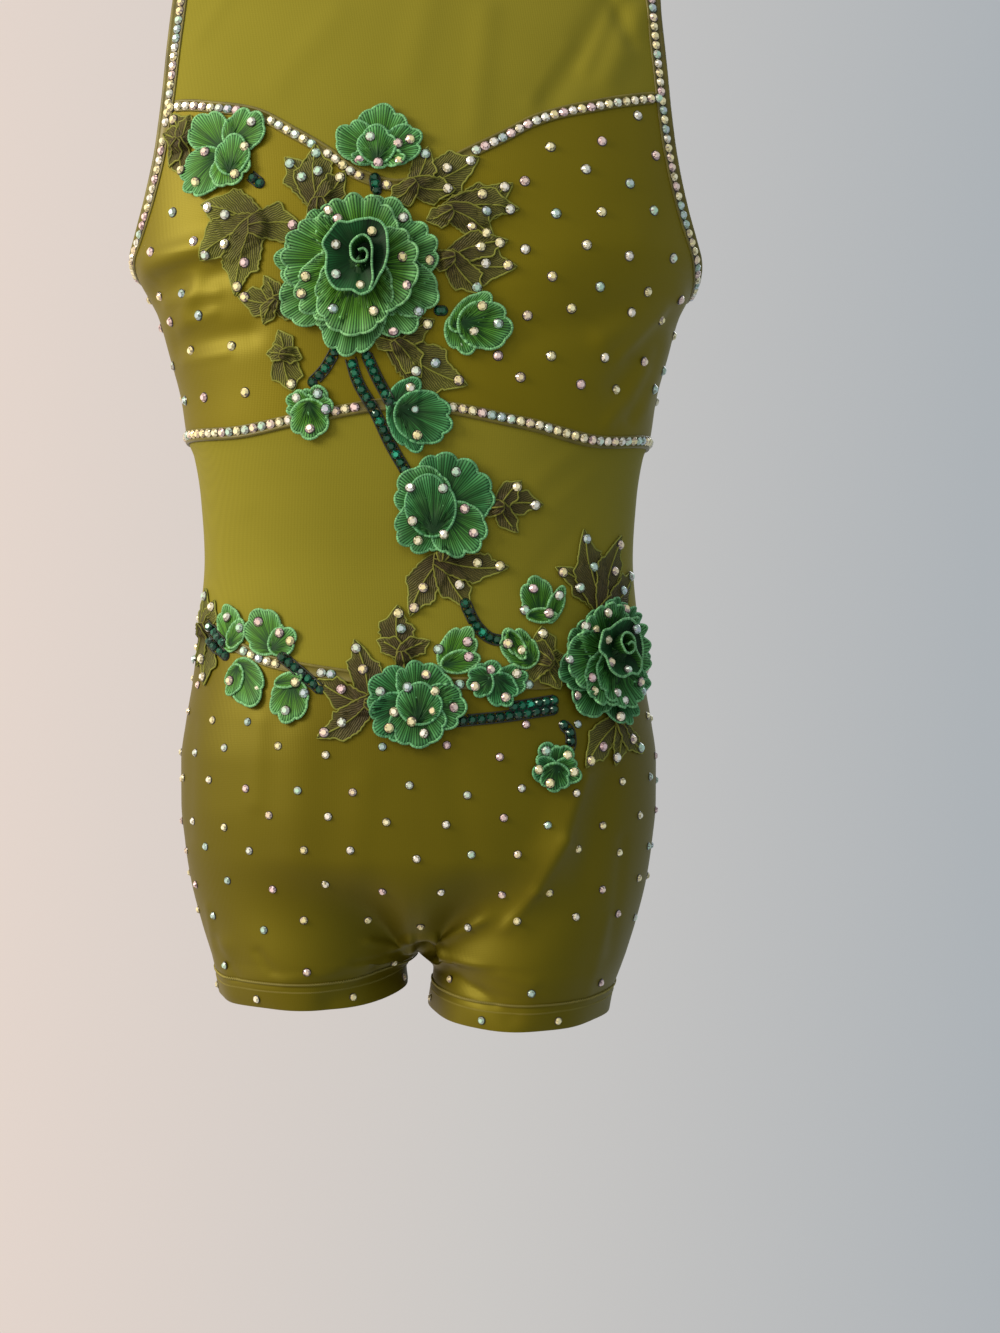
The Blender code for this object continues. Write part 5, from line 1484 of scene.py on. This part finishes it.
def make_tapes(surface, relief, tape):
    """The tapes over the seams and the bindings round the armholes."""
    lines = (
        ("sweetheart_band", SWEETHEART, "front", 11.0, 1),
        ("underbust_band_front", UNDERBUST, "front", 0.15, -1),
        ("waist_band_front", WAIST, "front", 0.15, 1),
        ("underbust_band_back", BACK_UNDERBUST, "back", 0.15, -1),
        ("waist_band_back", BACK_WAIST, "back", 0.15, 1),
    )
    for name, seam, word, short, flip in lines:
        bag = Bag()
        theta, q, z = seam_line(surface, seam, word)
        add_band(bag, theta, z, [(v * flip, h) for v, h in TAPE][::flip], short)
        bag.build("tape_" + name, tape, "satin", (name,), sharp=60)
        if word == "front":
            for v in np.linspace(-3, 3, 13):
                relief.add(q, z + v, 1.0)
    for name, side in (("armhole_binding_left", 1), ("armhole_binding_right", -1)):
        bag = Bag()
        q, z = armhole_line(surface, side, BINDING_MIDDLE)
        along_q, along_z = heading(q, z).T
        v, h = np.array([(v * side, h) for v, h in BINDING][::side]).T[..., None]
        add_strip(bag, surface.place(q - v * along_z, z + v * along_q, h))
        bag.build("tape_" + name, tape, "satin", (name,), sharp=60)
        for v in np.linspace(-4, 4, 17):
            relief.add(q - v * along_z, z + v * along_q, 1.0)


def add_band(bag, theta, z, profile, short):
    """A tape over a seam, swept along the cloth in level strips."""
    points, _ = skin(theta, z)
    lengths = lengths_along(*points.T)
    at = np.linspace(short, lengths[-1] - short, 230)
    theta, z = np.interp(at, lengths, theta), np.interp(at, lengths, z)
    v, h = np.array(profile).T[..., None]
    slope = np.gradient(z) / np.gradient(at)
    rows = z + v * np.sqrt(np.maximum(1 - slope**2, 0.3))
    shift = v * slope * np.gradient(theta) / np.gradient(at)
    shift[:, [0, -1]] = 0.0
    add_strip(bag, skin(theta - shift, rows, np.broadcast_to(h, rows.shape))[0])


def make_hem_stitches():
    """The two rows of stitching that hold each leg's turned hem."""
    thread = plain_material("stitch_thread", (0.3, 0.26, 0.045), 0.6)
    bag = Bag()
    for side in (-1, 1):
        psi = np.linspace(-math.pi, math.pi, 480, endpoint=False)
        zigzag = np.arange(len(psi)) % 2 * 2 - 1
        for drop, swing, radius in ((0.6, 0.55, 0.36), (-3.4, 0.4, 0.14)):
            line, way_out = leg(side, psi, hem_height(side, psi) + HEM_DEPTH + drop + swing * zigzag, 0.25)
            add_cord(bag, line, way_out, radius, True)
    bag.build("hem_stitches", thread, "satin")


def make_leaves(surface, relief):
    thread = leaf_material()
    for name, x, z, brown, lobes in LEAVES:
        bag = Bag()
        q = float(surface.q_of(x, z))
        for direction, length, half_angle in lobes:
            size = length * LOBE_GROWTH, min(half_angle, LOBE_WIDEST)
            add_lobe(bag, surface, relief, q, z, direction, *size, brown)
        bag.build("thread_" + name, thread, "leaf_thread", (name,))


def make_flowers(surface, relief):
    thread = petal_material()
    for name, x, z, cup, petals in FLOWERS:
        bag = Bag()
        q = float(surface.q_of(x, z))
        for k, (dx, dz, *shape) in enumerate(petals):
            shade = DEPTHS.get(name, 0.0) + 0.35 * RNG.random()
            add_petal(bag, surface, relief, q + dx, z + dz, shape, 0.6 + 0.2 * k, cup, 2.0, 0.25 * cup, shade)
        bag.build("thread_" + name, thread, "petal_thread", (name,))
    for rose in ROSES:
        make_rose(surface, relief, thread, *rose)


def make_rose(surface, relief, thread, name, x, z, size, turn):
    """A rose in tiers: outer petals, a ruffled collar, a cup and the curled petal in it."""
    q = float(surface.q_of(x, z))
    tiers = (
        ("outer", ROSE_OUTER, 0.12, 0.5, 3.6, 2.0, 0.8),
        ("middle", ROSE_MIDDLE, 0.0, 1.8, 7.0, 1.7, 1.0),
    )
    for tier, petals, depth, *form in tiers:
        bag = Bag()
        for dx, dz, direction, length, width, scallops in petals:
            du, dv = turned(dx, dz, turn)
            shape = (direction + turn, length * size, width * size, scallops)
            shade = depth + DEPTHS.get(name, 0.0) + 0.25 * RNG.random()
            add_petal(bag, surface, relief, q + size * du, z + size * dv, shape, *form, shade, 0.35)
        bag.build("thread_" + name + "_" + tier, thread, "petal_thread", (name + "_" + tier,))
    bag = Bag()
    add_cup(bag, surface, relief, q, z, *rim_curve(ROSE_CUP, size, turn, True), *CUP_HEIGHTS, 0.9)
    bag.build("thread_" + name + "_inner", thread, "petal_thread", (name + "_inner",))
    bag = Bag()
    add_curl(bag, surface, q, z, *rim_curve(ROSE_CURL, size, turn, False), *CURL_HEIGHTS, 0.6)
    bag.build("thread_" + name + "_bud", thread, "petal_thread", (name + "_bud",))


def on_relief(surface, relief, q, z):
    """Where something set on the garment sits, and which way it faces."""
    reach = 1.6

    def top(q, z):
        return surface.place(q, z, relief.at(q, z))

    across = top(q + reach, z) - top(q - reach, z)
    up = top(q, z + reach) - top(q, z - reach)
    _, cloth = surface.stand(q, z)
    return top(q, z), unit(0.55 * unit(np.cross(across, up)) + 0.45 * cloth)


def make_stems(surface, relief):
    """Stems of dark green stones edged with dark cord; returns where the stones are."""
    green = stone_material("green_stones", GREEN_STOPS, 0.3, 0.12)
    dark = plain_material("stem_cord", (0.012, 0.018, 0.008), 0.6)
    stones, cords, beads = Stones(*GREEN_STONE), Bag(), []
    for stem in STEMS:
        x, z = np.array(stem, float).T
        q, z, _ = run_along(surface.q_of(x, z), z, STEM_PITCH)
        seen = relief.at(q, z) < STEM_COVER
        points, way_out = on_relief(surface, relief, q[seen], z[seen])
        stones.set(points + 0.3 * way_out, way_out)
        beads.append(np.stack([q[seen], z[seen]], axis=-1))
        q, z, along = run_along(q, z, 1.4)
        for offset in (-2.6, 2.6):
            edge_q, edge_z = q - offset * along[:, 1], z + offset * along[:, 0]
            h = relief.at(edge_q, edge_z)
            for stretch in np.split(np.arange(len(q)), np.flatnonzero(h > STEM_COVER)):
                stretch = stretch[h[stretch] <= STEM_COVER]
                if len(stretch) > 3:
                    line, out = surface.stand(edge_q[stretch], edge_z[stretch], h[stretch] + 0.35)
                    add_cord(cords, line, out, 0.42)
    stones.bag.build("stem_stones", green, "petal_thread", sharp=0)
    cords.build("stem_cords", dark, "leaf_thread")
    return np.concatenate(beads)


def clear_of(beads, q, z, apart):
    """Which places are further than a distance from every bead."""
    away = np.hypot(np.ravel(q)[:, None] - beads[:, 0], np.ravel(z)[:, None] - beads[:, 1])
    return away.min(axis=1) > apart


def make_stones(surface, relief, beads):
    """Clear stones with a rainbow coating: in rows on the tapes, scattered, and on the appliques."""
    clear = stone_material("clear_stones", CLEAR_STOPS, 0.35, 0.12)
    make_stone_rows(surface, relief, beads).bag.build("row_stones", clear, "satin", sharp=0)
    large, small = Stones(*CLEAR_STONE), Stones(*SMALL_STONE)
    small.bag = large.bag
    for q, z in scattered_places(surface, relief, beads):
        point, out = surface.stand(q, z, 0.05)
        (large if z > SMALL_BELOW else small).set([point], [out])
    for side in (-1, 1):
        for k in range(LEG_STONES):
            psi = math.pi * (2 * (k + 0.3 + 0.4 * RNG.random()) / LEG_STONES - 1)
            hem = hem_height(side, psi)
            low, high = (hem + rise for rise in LEG_STONE_RISES)
            z = low if k % 2 else min(high, CROTCH_Z - 2.0)
            if abs(math.sin(psi)) > 0.2:
                point, out = leg(side, psi, z, 0.3)
                small.set([point], [out])
    large.bag.build("scattered_stones", clear, "satin", sharp=0)
    worn = Stones(*CLEAR_STONE)
    worn.set(*on_relief(surface, relief, *applique_places(surface, beads)))
    worn.bag.build("applique_stones", clear, "petal_thread", sharp=0)


def make_stone_rows(surface, relief, beads):
    """The rows of stones on the tapes and bindings, where no applique covers them."""
    rows = Stones(*CLEAR_STONE)

    def set_bare(q, z):
        bare = (relief.at(q, z, 2) < ROW_COVER) & clear_of(beads, q, z, ROW_CLEAR)
        rows.set(*surface.stand(q[bare], z[bare], 0.5))

    for seam, short, shift in ((SWEETHEART, 11.0, -0.5), (UNDERBUST, 2.0, 0.5), (WAIST, 2.0, -0.5)):
        _, q, z = seam_line(surface, seam, "front")
        run = np.arange(len(q)) * lengths_along(q, z)[-1] / len(q)
        keep = (run > short) & (run[::-1] > short)
        q, z, _ = run_along(q[keep], z[keep], ROW_PITCH)
        set_bare(q, z + shift)
    for seam, shift in ((BACK_UNDERBUST, 0.5), (BACK_WAIST, -0.5)):
        theta, _, z = seam_line(surface, seam, "back")
        points, out = skin(theta, z + shift, 0.5 * np.ones(len(z)))
        lengths = lengths_along(*points.T)
        at = np.arange(2.5, lengths[-1] - 2.5, ROW_PITCH)
        points, out = (
            np.stack([np.interp(at, lengths, column) for column in line.T], axis=-1) for line in (points, out)
        )
        rows.set(points, unit(out))
    for side in (1, -1):
        q, z = armhole_line(surface, side, BINDING_MIDDLE + 1.2)
        lengths = lengths_along(*surface.place(q, z).T)
        at = np.arange(3.0, lengths[-1] - 2.0, ROW_PITCH)
        set_bare(np.interp(at, lengths, q), np.interp(at, lengths, z))
    return rows


def scattered_places(surface, relief, beads):
    """Staggered rows of places on the bust and the shorts that no tape or applique covers."""
    places = []
    for low, high in SCATTER_BANDS:
        for row, z in enumerate(np.arange(high, low, -SCATTER_DOWN)):
            for k in range(-13, 14):
                q = (k + 0.5 * (row % 2)) * SCATTER_ACROSS + SCATTER_STRAY * (RNG.random() - 0.5)
                at = z + SCATTER_STRAY * (RNG.random() - 0.5)
                if not covered(surface, relief, q, at) and clear_of(beads, q, at, SCATTER_CLEAR)[0]:
                    places.append((q, at))
    return places


def covered(surface, relief, q, z):
    """Whether a place is off the bust and the shorts, or under something."""
    if abs(q) > surface.q_at(math.pi, z) - BACK_MARGIN:
        return True
    x, y, _ = surface.place(q, z)
    word = "front" if y < 0 else "back"
    seams = (SWEETHEART, UNDERBUST, WAIST) if word == "front" else (BACK_YOKE, BACK_UNDERBUST, BACK_WAIST)
    yoke, underbust, waist = (smooth(*zip(*seam), x) for seam in seams)
    if not (z < waist - SEAM_MARGIN or underbust + SEAM_MARGIN < z < yoke - SEAM_MARGIN):
        return True
    side = 1.0 if q > 0 else -1.0
    if z > UNDERARM_Z + UNDERARM_TILT * side - ARMHOLE_MARGIN:
        turn = edge_turn(side, z, word)
        edge = surface.q_at(turn if word == "front" else math.pi - turn, z)
        inside = edge - abs(q) if word == "front" else abs(q) - edge
        if inside < ARMHOLE_MARGIN or abs(y) < ARMHOLE_MARGIN:
            return True
    return relief.at(q, z, 5) > 0.3


def applique_places(surface, beads):
    """A few places on every petal and lobe."""
    q_all, z_all = [], []

    def put(q, z, direction, reach):
        du, dv = turned(reach, 0.0, direction)
        q_all.append(q + du)
        z_all.append(z + dv)

    for _, x, z, _, lobes in LEAVES:
        q = float(surface.q_of(x, z))
        for direction, length, _ in lobes:
            if length > 15:
                put(q, z, direction, length - 3.0)
            if length > 22:
                put(q, z, direction + 9 * (RNG.random() - 0.5), length * 0.55)
    for _, x, z, _, petals in FLOWERS:
        q = float(surface.q_of(x, z))
        for dx, dz, direction, length, *_ in petals:
            put(q + dx, z + dz, direction + 30 * (RNG.random() - 0.5), length * 0.72)
            if length > 20:
                put(q + dx, z + dz, direction + 55 * RNG.choice([-1, 1]), length * 0.42)
    for _, x, z, size, turn in ROSES:
        q = float(surface.q_of(x, z))
        for k, (dx, dz, direction, length, *_) in enumerate(ROSE_OUTER + ROSE_MIDDLE):
            put(q + dx * size, z + dz * size, direction + turn - 13, length * size * 0.86)
            if k >= len(ROSE_OUTER):
                put(q + dx * size, z + dz * size, direction + turn + 22, length * size * 0.72)
        for dx, dz in ROSE_STONES:
            put(q + dx * size, z + dz * size, 0, 0)
    kept = []
    for k, (q, z) in enumerate(zip(q_all, z_all)):
        apart = all(math.hypot(q - q_all[n], z - z_all[n]) > APPLIQUE_PITCH for n in kept)
        if apart and clear_of(beads, q, z, APPLIQUE_CLEAR)[0]:
            kept.append(k)
    return np.array(q_all)[kept], np.array(z_all)[kept]


def make_stage():
    """A pale round room that glows with painted light, warm on the left and cool on the right, soft lights,
    and the camera.
    """
    room_painted_light, tree, shader = new_material("pale_room")
    x, _, _ = place_of(tree)
    glow = tree.nodes.new("ShaderNodeEmission")
    # The room glows as painted light, warm on the left and cool on the right as a lit wall would be.
    colour = ramp(tree, plus(tree, times(tree, x, 0.3), 0.5, True), ROOM_PAINTED_LIGHT)
    tree.links.new(colour, glow.inputs["Color"])
    tree.links.new(glow.outputs["Emission"], tree.nodes["Material Output"].inputs["Surface"])
    tree.nodes.remove(shader)
    room_painted_light.cycles.emission_sampling = "NONE"
    bpy.ops.mesh.primitive_uv_sphere_add(segments=64, ring_count=32, radius=ROOM_RADIUS, location=ROOM_MIDDLE)
    room = bpy.context.object
    room.name = "room"
    room.data.flip_normals()
    room.data.shade_smooth()
    room.data.materials.append(room_painted_light)
    scene = bpy.context.scene
    for name, place, colour, power, size in LIGHTS:
        data = bpy.data.lights.new(name, "AREA")
        data.energy, data.color, data.size = power, colour, size
        lamp = bpy.data.objects.new(name, data)
        lamp.location = place
        lamp.rotation_euler = (LIGHT_AIM - Vector(place)).to_track_quat("-Z", "Y").to_euler()
        scene.collection.objects.link(lamp)
    data = bpy.data.cameras.new("camera")
    data.lens, data.sensor_width = LENS, SENSOR
    camera = bpy.data.objects.new("camera", data)
    camera.location = CAMERA_PLACE
    camera.rotation_euler = (math.pi / 2, 0, 0)
    scene.collection.objects.link(camera)
    scene.camera = camera
    scene.view_settings.view_transform = "Standard"


main()
